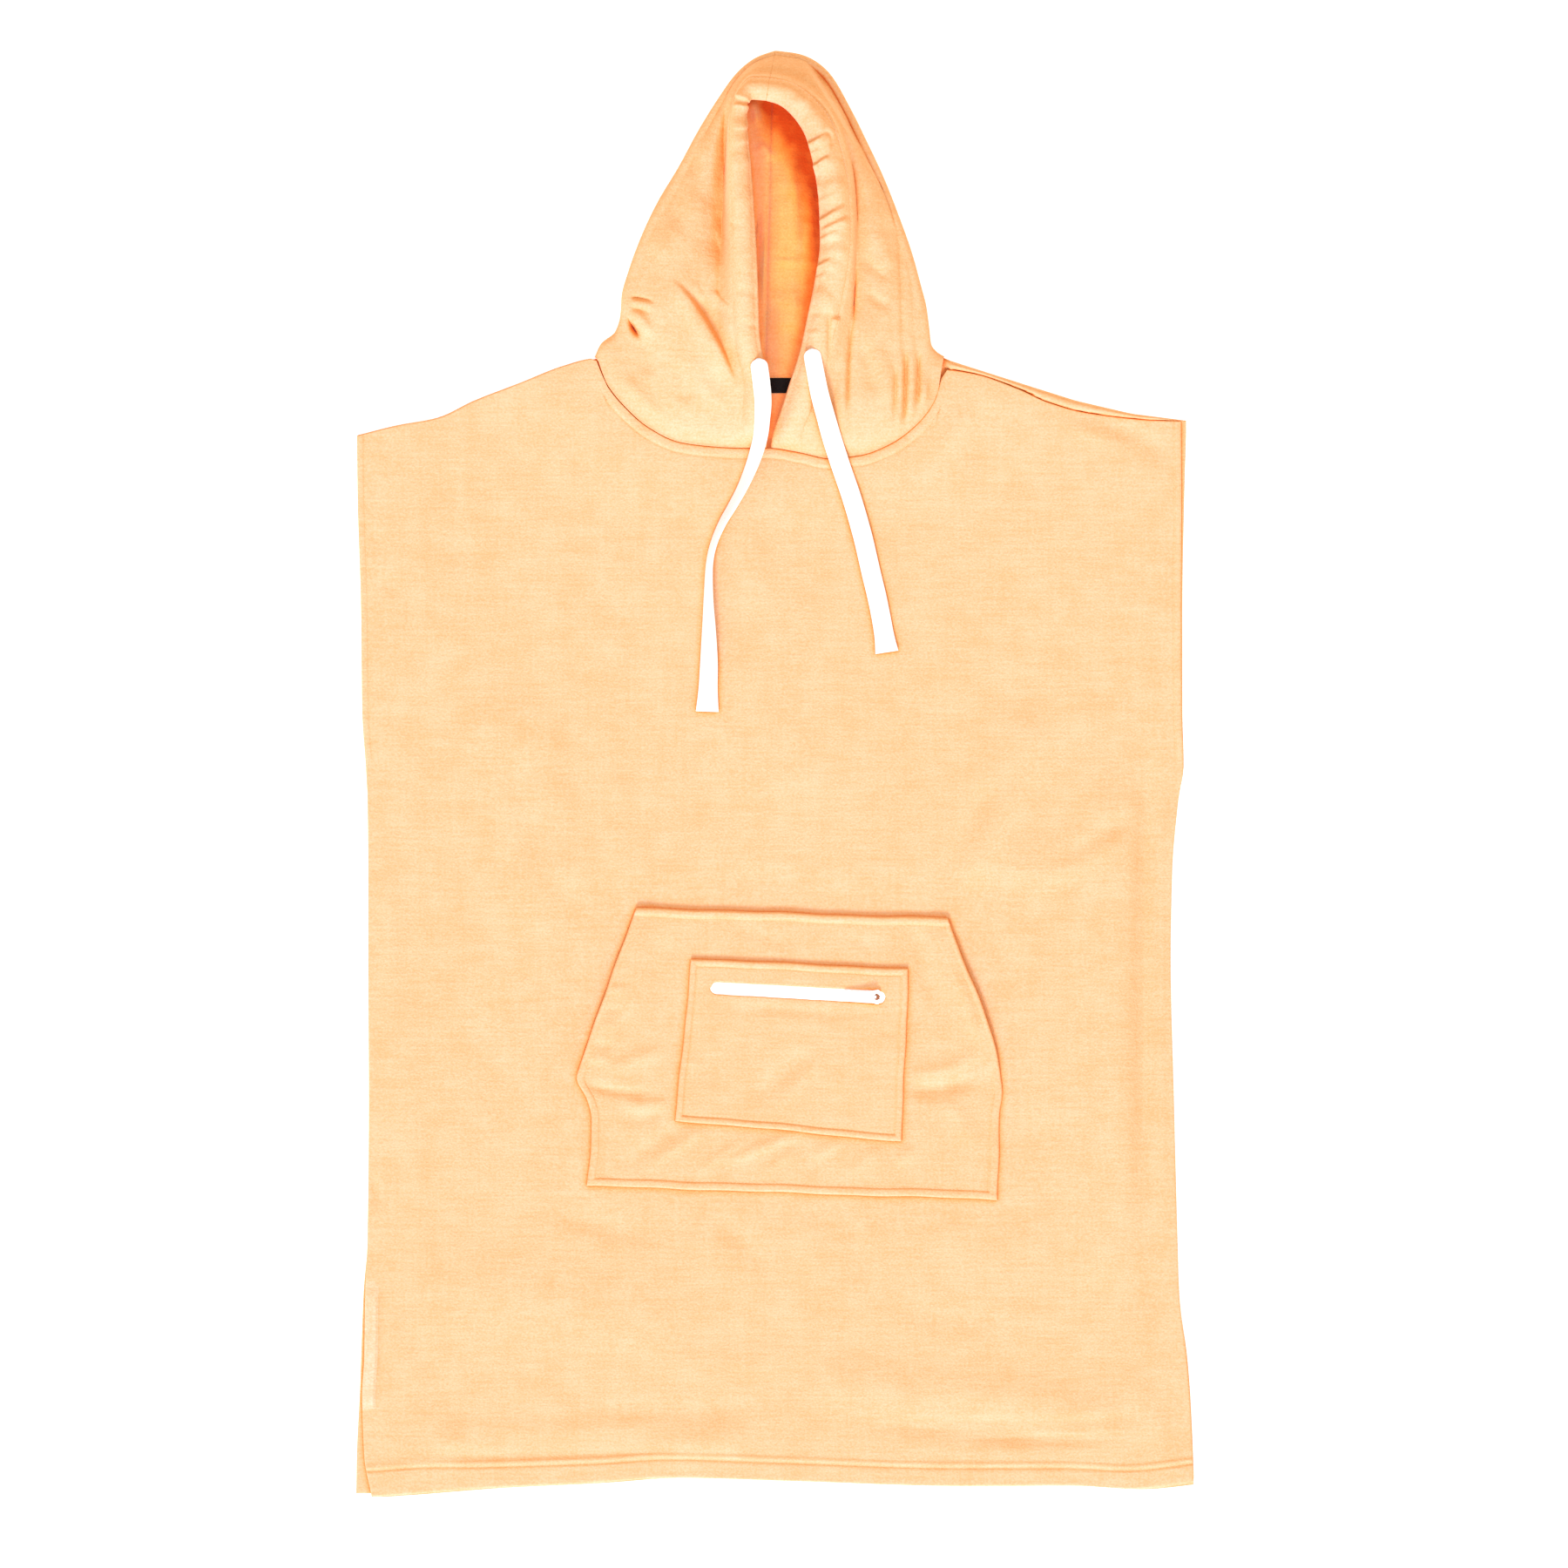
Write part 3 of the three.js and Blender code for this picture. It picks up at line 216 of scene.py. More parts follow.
# Upper edge of the back. Its right shoulder rolls over the seam and shows beyond the front.
BACK_LEFT_SHOULDER = table("x y", (-383.8, 311), (-309.6, 326.8), (-233.6, 358.8), (-165.6, 381.2))
BACK_RIGHT_SHOULDER = table(
    "x y",
    (155.2, 381.2),
    (230.4, 357.2),
    (276, 342.8),
    (327.2, 330.8),
    (377.4, 324.4),
)
SHOULDER_ROLL = {"height": 5.2, "end": 372, "middle": 0.56, "cut": 0.95}
# The part of the back that shows through the neck gets the hood inside's painted shade and painted glow
INSIDE_VIEW = {"half_width": 120, "bottom": 260}

HEM = table(
    "x y stitch",
    (-370.4, -663.6, 24),
    (-336, -661.2, 24.5),
    (-264, -655.6, 20),
    (-168, -650.8, 18.2),
    (-96, -646.2, 17.6),
    (0, -648.8, 17.2),
    (168, -653.8, 17),
    (264, -653.4, 16.8),
    (324, -656.6, 17.6),
    (384.8, -651, 18.6),
)

# Large soft folds of the front, as in its solid: ridges where height is positive, troughs where negative
FRONT_FOLDS = table(
    "x1 y1 x2 y2 height width",
    (344, -20, 340, -470, -1.8, 22),
    (308, -40, 306, -440, 2.4, 34),
    (182, -75, 226, 30, 2.6, 24),
    (235, -90, 322, -40, 2.2, 22),
    (-250, 40, -214, -110, 2.2, 34),
    (-20, 230, -10, 20, 2.4, 46),
    (-290, -470, -120, -500, 2, 36),
    (60, -560, 300, -590, 2.4, 22),
    (-300, -612, -40, -610, 1.8, 14),
)

# Creases have a start, middle and end, a height and a width on the left and right of their way
CREASE = "x1 y1 xm ym x2 y2 height left right"
FRONT_CREASES = table(
    CREASE,
    (345, 80, 341, -190, 342, -470, -3.4, 8, 10),
    (325, 76, 321, -190, 321, -466, 2.6, 9, 26),
    (354, 60, 353, -190, 355, -450, 1.6, 6, 7),
    (206, 0, 176, -50, 150, -114, -2.2, 12, 9),
    (226, -4, 202, -56, 176, -112, 1.6, 9, 9),
    (250, 10, 230, -30, 212, -70, -1.1, 9, 7),
    (320, -46, 284, -76, 236, -104, 1.9, 10, 9),
    (334, -30, 300, -58, 256, -84, -1.8, 9, 8),
    (118, -590, 240, -597, 352, -590, -1.9, 6, 4),
    (150, -606, 240, -611, 340, -606, -1.5, 5, 4),
    (-250, 30, -232, -30, -226, -96, -1.6, 14, 10),
    (-210, 60, -200, 0, -196, -60, 1.1, 10, 12),
    (-150, 20, -146, -40, -152, -100, 0.9, 12, 9),
    (-300, 300, -296, 230, -288, 170, -0.9, 14, 10),
    (-262, 318, -250, 280, -244, 236, 0.8, 10, 10),
    (-190, 340, -186, 300, -170, 262, -0.9, 9, 9),
    (200, 344, 188, 310, 176, 274, -1.4, 10, 8),
    (178, 340, 166, 316, 150, 294, 1.2, 8, 8),
    (300, 318, 330, 306, 368, 288, -1.8, 14, 10),
    (262, 322, 300, 310, 352, 296, 1.2, 8, 8),
    (-30, 250, -20, 190, -18, 140, 1.3, 10, 14),
    (22, 262, 30, 200, 34, 150, -0.9, 12, 12),
    (-88, 230, -100, 180, -98, 120, 0.9, 14, 14),
    (-60, -100, -20, -96, 40, -102, -0.7, 10, 10),
    (-210, -400, -150, -420, -90, -424, -1.2, 12, 8),
    (-60, -404, -30, -430, -4, -460, -1.1, 10, 8),
    (20, -404, 34, -430, 30, -470, 0.9, 8, 8),
    (60, -400, 78, -436, 76, -470, -0.9, 8, 8),
    (230, -300, 246, -360, 240, -430, -1.1, 12, 12),
    (-256, -180, -264, -260, -258, -340, -1.1, 12, 14),
    (-330, -200, -334, -300, -330, -410, 0.9, 10, 12),
    (-360, -60, -352, -200, -356, -330, 1.2, 9, 9),
    (-368, 180, -352, 172, -340, 160, -0.9, 5, 5),
    (-372, 226, -366, 214, -360, 206, -1.2, 3, 3),
    (60, -596, 180, -604, 300, -612, -1.7, 9, 7),
    (120, -574, 200, -584, 290, -582, -1.2, 8, 8),
    (-300, -606, -200, -612, -60, -604, -1.3, 7, 7),
    (-180, -580, -100, -586, 0, -580, -0.8, 9, 7),
    (320, -540, 340, -580, 356, -620, 1.4, 12, 12),
    (-350, -626, -200, -624, -80, -618, -1.3, 8, 4),
    (-340, -500, -320, -540, -310, -590, -0.9, 12, 10),
    (-372, -366, -366, -382, -370, -400, -1.2, 3, 4),
    (-120, -530, -40, -540, 60, -528, 0.8, 14, 14),
    (100, -480, 160, -500, 230, -500, -0.8, 12, 12),
)

# The hood's halves from the neck seam (v 0) to the crown seam (v 1), as in their solids, but for the
# left one's trough, which is up to 5 mm shallower, and its middle, which is up to 2 mm higher
HOOD_ROW = "v back_y side_x side_y front_x front_y sag casing fold middle trough outer crest edge"
HOOD_LEFT = table(
    HOOD_ROW,
    (0, 364.8, -164.6, 382.4, -8, 299.2, 1, 24, 6.9, 6.9, 6.9, 7.5, 8, 7.5),
    (0.05, 375, -159, 394, -8, 311, 0.85, 26, 9, 14, 14, 16, 18, 15),
    (0.12, 388, -146, 405, -6, 330, 0.65, 27, 10, 20, 19, 22, 25, 21),
    (0.2, 403, -141, 421, -5, 352, 0.45, 27, 12, 24, 23, 28, 31, 27),
    (0.28, 420, -140, 438, -10.5, 378, 0.28, 27, 14, 27, 25, 33, 37, 33),
    (0.37, 445, -133.6, 461, -14.5, 405, 0.14, 27, 14, 28, 23, 37, 42, 38),
    (0.46, 475, -122.6, 491, -15.5, 437, 0.05, 27, 14, 27, 22, 41, 46, 42),
    (0.55, 508, -107.6, 523, -17, 474, 0, 26, 14, 26, 19, 44, 49, 45),
    (0.65, 545, -88, 556, -19.5, 515, 0, 25, 13, 24, 18, 45, 51, 46),
    (0.75, 580, -68.4, 592, -22.5, 556, 0, 24, 12, 22, 19, 44, 50, 46),
    (0.84, 610, -51.6, 619, -26, 588, 0, 22, 11, 21, 23, 42, 48, 45),
    (0.92, 632, -35, 642, -28, 606, 0, 21, 10, 20, 25, 40, 46, 43),
    (0.97, 642, -18, 656, -21, 616, 0, 21, 9.5, 21, 28, 39, 45, 42),
    (1, 648, 0, 663, -8.5, 615, 0, 22, 9, 22, 29, 38, 44, 42),
)
HOOD_RIGHT = table(
    HOOD_ROW,
    (0, 364.8, 154.4, 382.2, -4, 299.2, 1, 28, 6.9, 6.9, 6.9, 7.5, 8, 7.5),
    (0.05, 375, 147.4, 386.6, -2, 313, 0.85, 30, 9, 15, 14, 17, 19, 15),
    (0.12, 388, 142, 394, 5, 333, 0.65, 32, 11, 20, 20, 24, 26, 21),
    (0.2, 403, 140, 410, 14, 360, 0.45, 32, 12, 22, 23, 30, 32, 27),
    (0.28, 420, 137.6, 428, 22.5, 386, 0.28, 32, 13, 23, 25, 35, 38, 32),
    (0.37, 445, 132, 450, 30, 420, 0.14, 32, 13, 24, 27, 39, 43, 37),
    (0.46, 475, 124.6, 477, 36.5, 452, 0.05, 32, 12, 24, 29, 42, 47, 41),
    (0.55, 508, 113, 510, 41, 486, 0, 31, 12, 24, 31, 44, 50, 44),
    (0.65, 545, 98, 548, 40, 522, 0, 31, 11, 24, 32, 45, 52, 45),
    (0.75, 580, 82, 582, 35, 556, 0, 30, 11, 24, 33, 45, 52, 46),
    (0.84, 610, 67.6, 611, 27.5, 583, 0, 28, 10, 24, 33, 43, 50, 45),
    (0.92, 632, 46.4, 645, 13, 604, 0, 25, 10, 22, 31, 40, 47, 43),
    (0.97, 642, 24, 659, 2, 612, 0, 23, 9.5, 22, 30, 39, 45, 42),
    (1, 648, 0, 663, -8.5, 615, 0, 22, 9, 22, 29, 38, 44, 42),
)
HOOD_GROWTH = {"sag": 0.03, "folds": 0.06, "puff": 0.15, "panel": 0.045, "seam": 0.02}
HOOD_LOWEST = 4.3
PUFF_END = 0.8
HOOD_APART = 0.05
PANEL_STATIONS = (0, 0.45, 0.84, 1)
CASING_STATIONS = (0, 0.45, 1)
CASING_SWELL = 1.6
# Millimetres for the whole of v near the neck seam and near the crown seam
NECK_RUN = 300
CROWN_RUN = 110
# How deep and how wide the hood dips at each of these seams, and how round its opening's edge is
HOOD_SEAMS = {"neck": 0.8, "neck_width": 1.2, "crown": 0.4, "crown_width": 1.8, "share": 0.7}
OPENING_ROUNDING = 2.6

# Folds of the hood's upper layer, which move the whole wall
HOOD_LEFT_FOLDS = table(
    CREASE,
    (-98, 455, -62, 409, -33, 344, 5.2, 2.2, 12),
    (-84, 446, -54, 408, -28, 356, -3, 9, 8),
    (-54, 490, -51, 430, -45, 350, 5, 10, 14),
    (-118, 474, -100, 490, -84, 506, 2.4, 14, 14),
    (-42, 634, -48, 586, -44, 528, -1.9, 2.6, 13),
    (-40, 620, -46.5, 586, -43, 532, -1.4, 2.2, 3),
    (-38, 600, -40, 560, -36, 500, 2.4, 6, 6),
    (-84, 574, -70, 546, -62, 516, -2.2, 12, 10),
    (-51, 518, -48, 502, -42, 484, -1.9, 2.6, 6),
    (-58, 500, -52, 482, -46, 464, -1.2, 2.6, 6),
    (-57, 445, -50, 434, -39, 424, 1.9, 1.6, 5),
    (-75, 452, -70, 442, -64, 432, 1.1, 2, 6),
    (-143, 438.5, -126, 436.6, -108, 432, -2.2, 1.6, 2.2),
    (-143, 434, -124, 432, -108, 427, 1.6, 2.6, 4),
    (-136, 428, -124, 426, -112, 421, -1.1, 1.8, 3),
    (-150, 426, -133, 413, -124, 398, -9, 2.4, 2.8),
    (-134, 424, -122, 416, -112, 398, 2.6, 4, 6),
    (-122, 404, -117, 384, -112, 362, -1.9, 4, 9),
    (-142, 372, -122, 344, -98, 326, 1.8, 6, 8),
    (-74, 384, -62, 354, -48, 330, 1.6, 9, 9),
    (-92, 380, -84, 356, -76, 340, -1.3, 9, 9),
    (-104, 560, -92, 520, -90, 476, -1.4, 12, 14),
)
HOOD_RIGHT_FOLDS = table(
    CREASE,
    (20, 658, 49, 612, 83, 554, 5, 1.9, 16),
    (25, 660, 54, 614, 88, 556, -5.4, 13, 1.9),
    (72, 576, 96, 534, 112, 494, 3, 2.2, 13),
    (77, 576, 100, 535, 117, 494, -3.2, 10, 2.2),
    (111, 508, 115, 444, 116, 372, -2, 8, 2.2),
    (121, 496, 121, 440, 122, 384, 1.6, 4, 6),
    (110, 380, 110, 350, 109, 320, -2.2, 2.4, 2.4),
    (114.5, 400, 114.5, 352, 113, 308, 2, 2.6, 3),
    (119, 398, 119, 352, 117, 312, -3.2, 2.6, 2.6),
    (125, 404, 125, 356, 122, 312, 2.8, 3, 3.4),
    (131, 392, 131, 362, 129, 330, -3, 2.6, 2.4),
    (137, 400, 137, 362, 134, 328, 2.6, 3, 3.2),
    (141, 408, 144, 372, 142, 334, -7, 4.4, 2.8),
    (62, 584, 74, 530, 72.6, 460, -3, 10, 2),
    (66, 572, 73, 530, 72, 476, -3, 2, 1.5),
    (73, 506, 72.4, 450, 70, 408, -2.6, 10, 2),
    (73, 500, 72.4, 452, 70, 400, -2.8, 1.8, 1.5),
    (70, 424, 66.6, 372, 66, 316, -3, 2.4, 1.7),
    (62, 404, 61, 362, 60, 322, 1.8, 4, 6),
    (82, 500, 88, 450, 88, 402, -2.4, 10, 10),
    (96, 500, 100, 480, 108, 462, 2, 6, 8),
    (80, 476, 92, 462, 106, 452, -1.6, 4, 6),
    (84, 446, 94, 434, 110, 426, -1.6, 4, 6),
    (76, 400, 86, 372, 86, 340, -2, 9, 7),
    (92, 396, 100, 366, 103, 334, 2, 6, 8),
)

# Gathers that the drawcord pulls into the casing: short furrows that slant up from the opening's edge
HOOD_LEFT_GATHERS = table(
    CREASE,
    (-21, 612, -28, 616, -38, 621, 2.6, 1.6, 5),
    (-20, 603, -28, 609, -38, 609, 2.6, 5, 1.5),
    (-21, 594, -29, 590, -38, 588, 1.8, 1.8, 6),
    (-22, 580, -30, 577, -40, 576, 1.4, 2.4, 7),
    (-20, 556, -30, 558, -44, 558, 1.6, 8, 8),
    (-18, 520, -28, 522, -42, 520, 1.3, 9, 9),
    (-44, 506, -36, 502, -26, 503, -1, 2.4, 6),
    (-17, 474, -26, 476, -42, 474, 1, 10, 8),
    (-16, 436, -26, 440, -38, 440, -1, 3.6, 5.6),
    (-16, 412, -24, 410, -34, 412, -0.8, 3, 4),
)
HOOD_RIGHT_GATHERS = table(
    CREASE,
    (0, 628, 16, 629, 34, 619, 1.2, 3, 8),
    (10, 606, 22, 612, 34, 613, 1.2, 5, 6),
    (24, 577, 36, 576.4, 48, 585, 3.8, 1.3, 7),
    (44, 588, 50, 580, 49, 568, -2.2, 1.6, 2.6),
    (28, 567, 37, 567, 46, 571, 1.5, 1.5, 5),
    (30, 554, 41, 557, 53, 567, 3.6, 1.3, 9),
    (34, 540, 48, 535, 66, 539, 3, 8, 9),
    (38, 522, 48, 525, 60, 531, 1.2, 2, 5),
    (38, 504, 50, 509, 63, 521, 3.5, 1.4, 6),
    (42, 495, 54, 501, 65, 510, 3.6, 1.4, 6),
    (39, 487, 49, 490.6, 60, 497, 2.4, 1.4, 5),
    (38, 479, 52, 476, 66, 480, 2.4, 6, 6),
    (35, 462, 45, 465.6, 56, 472, 3, 1.4, 7),
    (33, 451, 42, 453.6, 51, 458, 1.5, 1.6, 5),
    (32, 437, 42, 436, 53, 440, 2.2, 9, 11),
    (31, 420, 38, 421.4, 46, 424, -1.1, 2.4, 4),
    (46, 417, 59, 415.4, 74, 416.6, 3.4, 1.4, 8),
    (48.8, 428, 48.8, 406, 48, 376, -2.8, 1.9, 2.8),
    (29, 402, 36, 404, 45, 405, 1, 1.8, 5),
)

# Soft vertical folds of the hood's back layer, seen through the opening
INSIDE_FOLDS = table(
    CREASE,
    (-10, 536, -10.6, 460, -8, 396, 7, 2.2, 2.8),
    (-17, 530, -16, 480, -14, 430, -3, 3, 3),
    (-24, 622, -18, 608, -17, 592, 6, 3, 4),
    (3, 566, 6, 510, 4, 456, 4.4, 5, 4),
    (15, 572, 19, 512, 18, 452, 6, 4, 6),
    (30, 560, 35, 500, 30, 450, 5, 5, 7),
    (-4, 474, 10, 471, 26, 473, 1.6, 2, 5),
    (0, 446, 5, 424, 2, 400, 3.4, 3.4, 4.4),
    (14, 452, 17, 428, 10, 402, 3.2, 3.4, 3.4),
    (-16, 580, -8, 572, 0, 562, 3.4, 4, 5),
    (24, 440, 22, 420, 16, 400, 2.6, 4, 4),
)

# How far and how strongly the hood's right side casts painted shade on its inside, and the flap at the upper
# left that is painted lit
COVER_REACH = table("y reach", (380, 12), (440, 19), (500, 26), (540, 32), (570, 44), (590, 56), (612, 66))
COVER_STRENGTH = table("y share", (360, 0.45), (420, 0.62), (480, 0.85), (540, 1))
FLAP = {"x": -19, "y": 605, "half_width": 5, "half_height": 12, "share": 0.9}

# Pocket outline, its slanted mouths and its puckers
POCKET_SIDES = table(
    "v left right",
    (0, -172.8, 204),
    (0.24, -168.8, 205),
    (0.31, -172.8, 205.6),
    (0.39, -181.6, 208.8),
    (0.43, -179, 208),
    (1, -127.2, 158.4),
)
POCKET_BOTTOM = {"left": -378, "right": -390.8}
POCKET_TOP = {"left": -122.8, "right": -132.4}
POCKET_WIDTH = 377
POCKET_HEIGHT = 257
POCKET_MOUTH = {"low": 0.43, "lift": 3, "reach": 0.12, "slope": 0.94, "hem": 15, "fade": 0.03}
POCKET_CREASES = table(
    CREASE,
    (34, -328, -10, -343, -60, -362, 1.7, 3, 6),
    (-20, -333, -48, -349, -74, -370, 1, 2.6, 5),
    (-64, -326, -84, -338, -122, -366, 1.5, 4, 8),
    (18, -346, 4, -356, -16, -369, 0.8, 3, 4),
    (62, -334, 46, -346, 30, -354, 1.3, 3, 7),
    (92, -338, 84, -352, 60, -371, 0.9, 5, 6),
    (128, -343, 118, -352, 108, -357, 1.2, 5, 7),
    (-84, -322, -112, -340, -144, -366, -1.2, 9, 7),
    (118, -287, 152, -288, 190, -276, -2.4, 5, 8),
    (122, -276, 156, -272, 196, -254, 1.4, 8, 4),
    (150, -300, 170, -316, 176, -346, 1.3, 8, 8),
    (-170, -284, -150, -291, -98, -293, -1.9, 4, 3),
    (-158, -276, -130, -262, -96, -254, 1.3, 6, 7),
    (-144, -302, -120, -303, -92, -300, 1.3, 3, 6),
    (-140, -318, -120, -316, -96, -310, -0.9, 6, 6),
    (128, -138, 134, -170, 140, -220, -1.2, 5, 7),
    (146, -140, 150, -170, 164, -214, 0.9, 6, 6),
    (164, -178, 176, -212, 188, -248, 1.2, 5, 5),
    (-112, -150, -128, -190, -140, -236, 1.1, 8, 7),
    (-98, -146, -106, -180, -112, -226, -0.9, 7, 8),
    (-40, -142, -10, -150, 20, -162, -0.6, 6, 6),
    (60, -146, 76, -154, 100, -164, -0.6, 6, 6),
    (-152, -196, -146, -198, -136, -198, 1, 3, 4),
    (-158, -214, -150, -217, -140, -216, -1, 3, 4),
    (-162, -230, -153, -231, -143, -229, 1, 3, 4),
    (-168, -246, -158, -250, -146, -248, -1, 3, 4),
    (-172, -260, -162, -262, -148, -262, 1, 3, 4),
)
PATCH_CORNERS = table(
    "x y",
    (-92, -318),
    (115.6, -337.2),
    (122.4, -178.8),
    (-76.8, -169.2),
)
PATCH_WIDTH = 202
PATCH_HEIGHT = 153
PATCH_CREASES = table(
    CREASE,
    (34, -248, 6, -276, -26, -306, -1.2, 9, 9),
    (52, -252, 24, -282, -4, -314, 0.9, 7, 7),
    (-40, -234, -52, -262, -66, -292, -0.7, 10, 10),
    (70, -236, 66, -270, 60, -300, 0.7, 10, 12),
    (-60, -213, 20, -217, 98, -222, -0.8, 4, 6),
    (92, -232, 104, -238, 112, -240, -0.6, 3, 3),
    (-84, -262, -76, -264, -66, -263, 0.5, 4, 4),
)

# Free ends of the flat drawcord, from the casing to the cut end, as in their solids: the middle line,
# how far the flat turns on its edge in degrees, and the width as a share of the full one
CORD_ROUTE = "x y z turn wide"
CORD_LEFT = table(
    CORD_ROUTE,
    (-15.6, 379.6, 42.4, 0, 0.9),
    (-12.8, 358.8, 37.8, 0, 0.92),
    (-11.2, 340.4, 34.2, 8, 0.9),
    (-12, 324.4, 30, 18, 0.86),
    (-13.6, 309.2, 24, 26, 0.84),
    (-20, 286.8, 15.6, 36, 0.82),
    (-29.6, 263.6, 16.2, 48, 0.78),
    (-40, 244.4, 15.8, 54, 0.74),
    (-48, 230.8, 15.1, 58, 0.7),
    (-56, 212.4, 13.8, 62, 0.66),
    (-60, 194.8, 13.6, 62, 0.66),
    (-61.2, 163.6, 13.5, 52, 0.72),
    (-60.8, 132.4, 12.9, 34, 0.84),
    (-60.8, 102, 10.8, 12, 0.94),
    (-61.6, 78.8, 9.2, 0, 1),
    (-62.4, 57.2, 9.2, 0, 1.2),
)
CORD_RIGHT = table(
    CORD_ROUTE,
    (32.8, 388.4, 43.8, 0, 0.9),
    (36.6, 367.6, 39.6, 0, 0.92),
    (40.8, 346.8, 34.4, 0, 0.95),
    (46.4, 326.8, 26, 0, 0.97),
    (51.2, 310, 19.2, 0, 1),
    (60, 282.8, 11.2, 0, 1),
    (69.6, 254.8, 10, 0, 1),
    (80, 218.8, 8.4, 0, 1),
    (88, 184.4, 8, 0, 1),
    (92.8, 164.4, 8, 0, 1),
    (96.8, 145.2, 8, 0, 1),
    (100, 126.8, 8, 0, 1.04),
    (102.4, 111.6, 8, 0, 1.22),
)
CORD_STEPS = 150
CORD_SIDES = 28
CORD_ROUNDING = 7
CORD_TAPER = 1.6


# Camera, floor and light


def add_camera():
    data = bpy.data.cameras.new("camera")
    data.sensor_width = SENSOR
    data.lens = SENSOR * VIEW_DISTANCE / VIEW_WIDTH
    data.clip_end = 100
    camera = bpy.data.objects.new("camera", data)
    camera.location = (VIEW_X * MM, VIEW_Y * MM, VIEW_DISTANCE * MM)
    scene.collection.objects.link(camera)
    scene.camera = camera


def direction_of(height, heading):
    """Direction to a light at a height above the surface and a heading counted from +X, in degrees."""
    up, round_z = math.radians(height), math.radians(heading)
    return math.cos(up) * math.cos(round_z), math.cos(up) * math.sin(round_z), math.sin(up)


def add_sun(name, strength, spread, height, heading):
    """Even light from a height above the surface and a heading counted from +X, both in degrees."""
    data = bpy.data.lights.new(name, "SUN")
    data.energy = strength
    data.angle = math.radians(spread)
    light = bpy.data.objects.new(name, data)
    light.rotation_euler = (math.radians(90 - height), 0, math.radians(heading + 90))
    scene.collection.objects.link(light)


def add_world(strength):
    world = bpy.data.worlds.new("studio")
    world.use_nodes = True
    background = world.node_tree.nodes["Background"]
    background.inputs["Color"].default_value = (1, 1, 1, 1)
    background.inputs["Strength"].default_value = strength
    scene.world = world


def add_floor(material):
    half, z = FLOOR["half"], -FLOOR["drop"]
    mesh = bpy.data.meshes.new("floor")
    corners = [(-half, -half, z), (half, -half, z), (half, half, z), (-half, half, z)]
    mesh.from_pydata(corners, [], [(0, 1, 2, 3)])
    mesh.materials.append(material)
    floor = bpy.data.objects.new("floor", mesh)
    scene.collection.objects.link(floor)


# Materials


def new_material(name):
    material = bpy.data.materials.new(name)
    material.use_nodes = True
    return material, material.node_tree, material.node_tree.nodes["Principled BSDF"]


def set_sockets(node, **values):
    for name, value in values.items():
        node.inputs[name.replace("_", " ")].default_value = value


def add_node(tree, kind, **settings):
    node = tree.nodes.new("ShaderNode" + kind)
    for name, value in settings.items():
        if name[0].isupper():
            node.inputs[name.replace("_", " ")].default_value = value
        else:
            setattr(node, name, value)
    return node


def noise_on(tree, coordinates, scale, detail=2.0, stretch=None):
    """Noise of a size per metre, drawn out along one axis where stretch gives a scale for each."""
    noise = add_node(tree, "TexNoise", Scale=scale, Detail=detail)
    if stretch is None:
        tree.links.new(coordinates, noise.inputs["Vector"])
        return noise.outputs["Fac"]
    mapping = add_node(tree, "Mapping")
    mapping.inputs["Scale"].default_value = stretch
    tree.links.new(coordinates, mapping.inputs["Vector"])
    tree.links.new(mapping.outputs["Vector"], noise.inputs["Vector"])
    return noise.outputs["Fac"]


def blend_values(tree, first, second, share):
    mix = add_node(tree, "Mix", data_type="FLOAT")
    mix.inputs["Factor"].default_value = share
    tree.links.new(first, mix.inputs["A"])
    tree.links.new(second, mix.inputs["B"])
    return mix.outputs["Result"]


def ramp_on(tree, value, stops):
    ramp = add_node(tree, "ValToRGB")
    elements = ramp.color_ramp.elements
    while len(elements) < len(stops):
        elements.new(0.5)
    for element, (position, colour) in zip(elements, stops):
        element.position = position
        element.color = (*colour, 1)
    tree.links.new(value, ramp.inputs["Fac"])
    return ramp.outputs["Color"]


def multiply_colours(tree, first, second):
    mix = add_node(tree, "MixRGB", blend_type="MULTIPLY", Fac=1.0)
    tree.links.new(first, mix.inputs["Color1"])
    tree.links.new(second, mix.inputs["Color2"])
    return mix.outputs["Color"]


def bump_on(tree, shader, *layers):
    """Bump from layers of (height output, strength, distance in metres)."""
    normal = None
    for height, strength, distance in layers:
        bump = add_node(tree, "Bump", Strength=strength, Distance=distance)
        tree.links.new(height, bump.inputs["Height"])
        if normal is not None:
            tree.links.new(normal, bump.inputs["Normal"])
        normal = bump.outputs["Normal"]
    tree.links.new(normal, shader.inputs["Normal"])


# Peach by how open the cloth lies, from deep folds to open ground: painted shade, darker and more
# orange where it lies deep, which stands for the light that bounces between its loops
PEACH_PAINTED_SHADE_BY_DEPTH = [
    (0.3, (0.95, 0.2, 0.015)),
    (0.6, (0.975, 0.33, 0.06)),
    (0.74, (0.96, 0.45, 0.16)),
    (0.87, (0.955, 0.51, 0.255)),
    (0.96, (0.95, 0.54, 0.31)),
]
# The same painted shade for the hood
PEACH_HOOD_PAINTED_SHADE = [
    (0.15, (0.85, 0.2, 0.025)),
    (0.45, (0.935, 0.38, 0.11)),
    (0.7, (0.95, 0.46, 0.18)),
    (0.86, (0.955, 0.51, 0.26)),
    (0.96, (0.95, 0.535, 0.305)),
]
# Deeper painted shade for the hood's inside and for the back seen through the neck
PEACH_INSIDE_PAINTED_SHADE = [
    (0.05, (0.74, 0.07, 0.006)),
    (0.17, (0.88, 0.2, 0.02)),
    (0.3, (0.94, 0.37, 0.07)),
    (0.45, (0.955, 0.48, 0.14)),
]
# The facing's colours, paler, with the same painted shade in its crevices
PEACH_FACING_PAINTED_SHADE = [
    (0.45, (0.95, 0.5, 0.25)),
    (0.9, (0.96, 0.62, 0.42)),
]
MOTTLE_DARK = (0.96, 0.85, 0.71)
MOTTLE_LIGHT = (1, 1.04, 1.09)
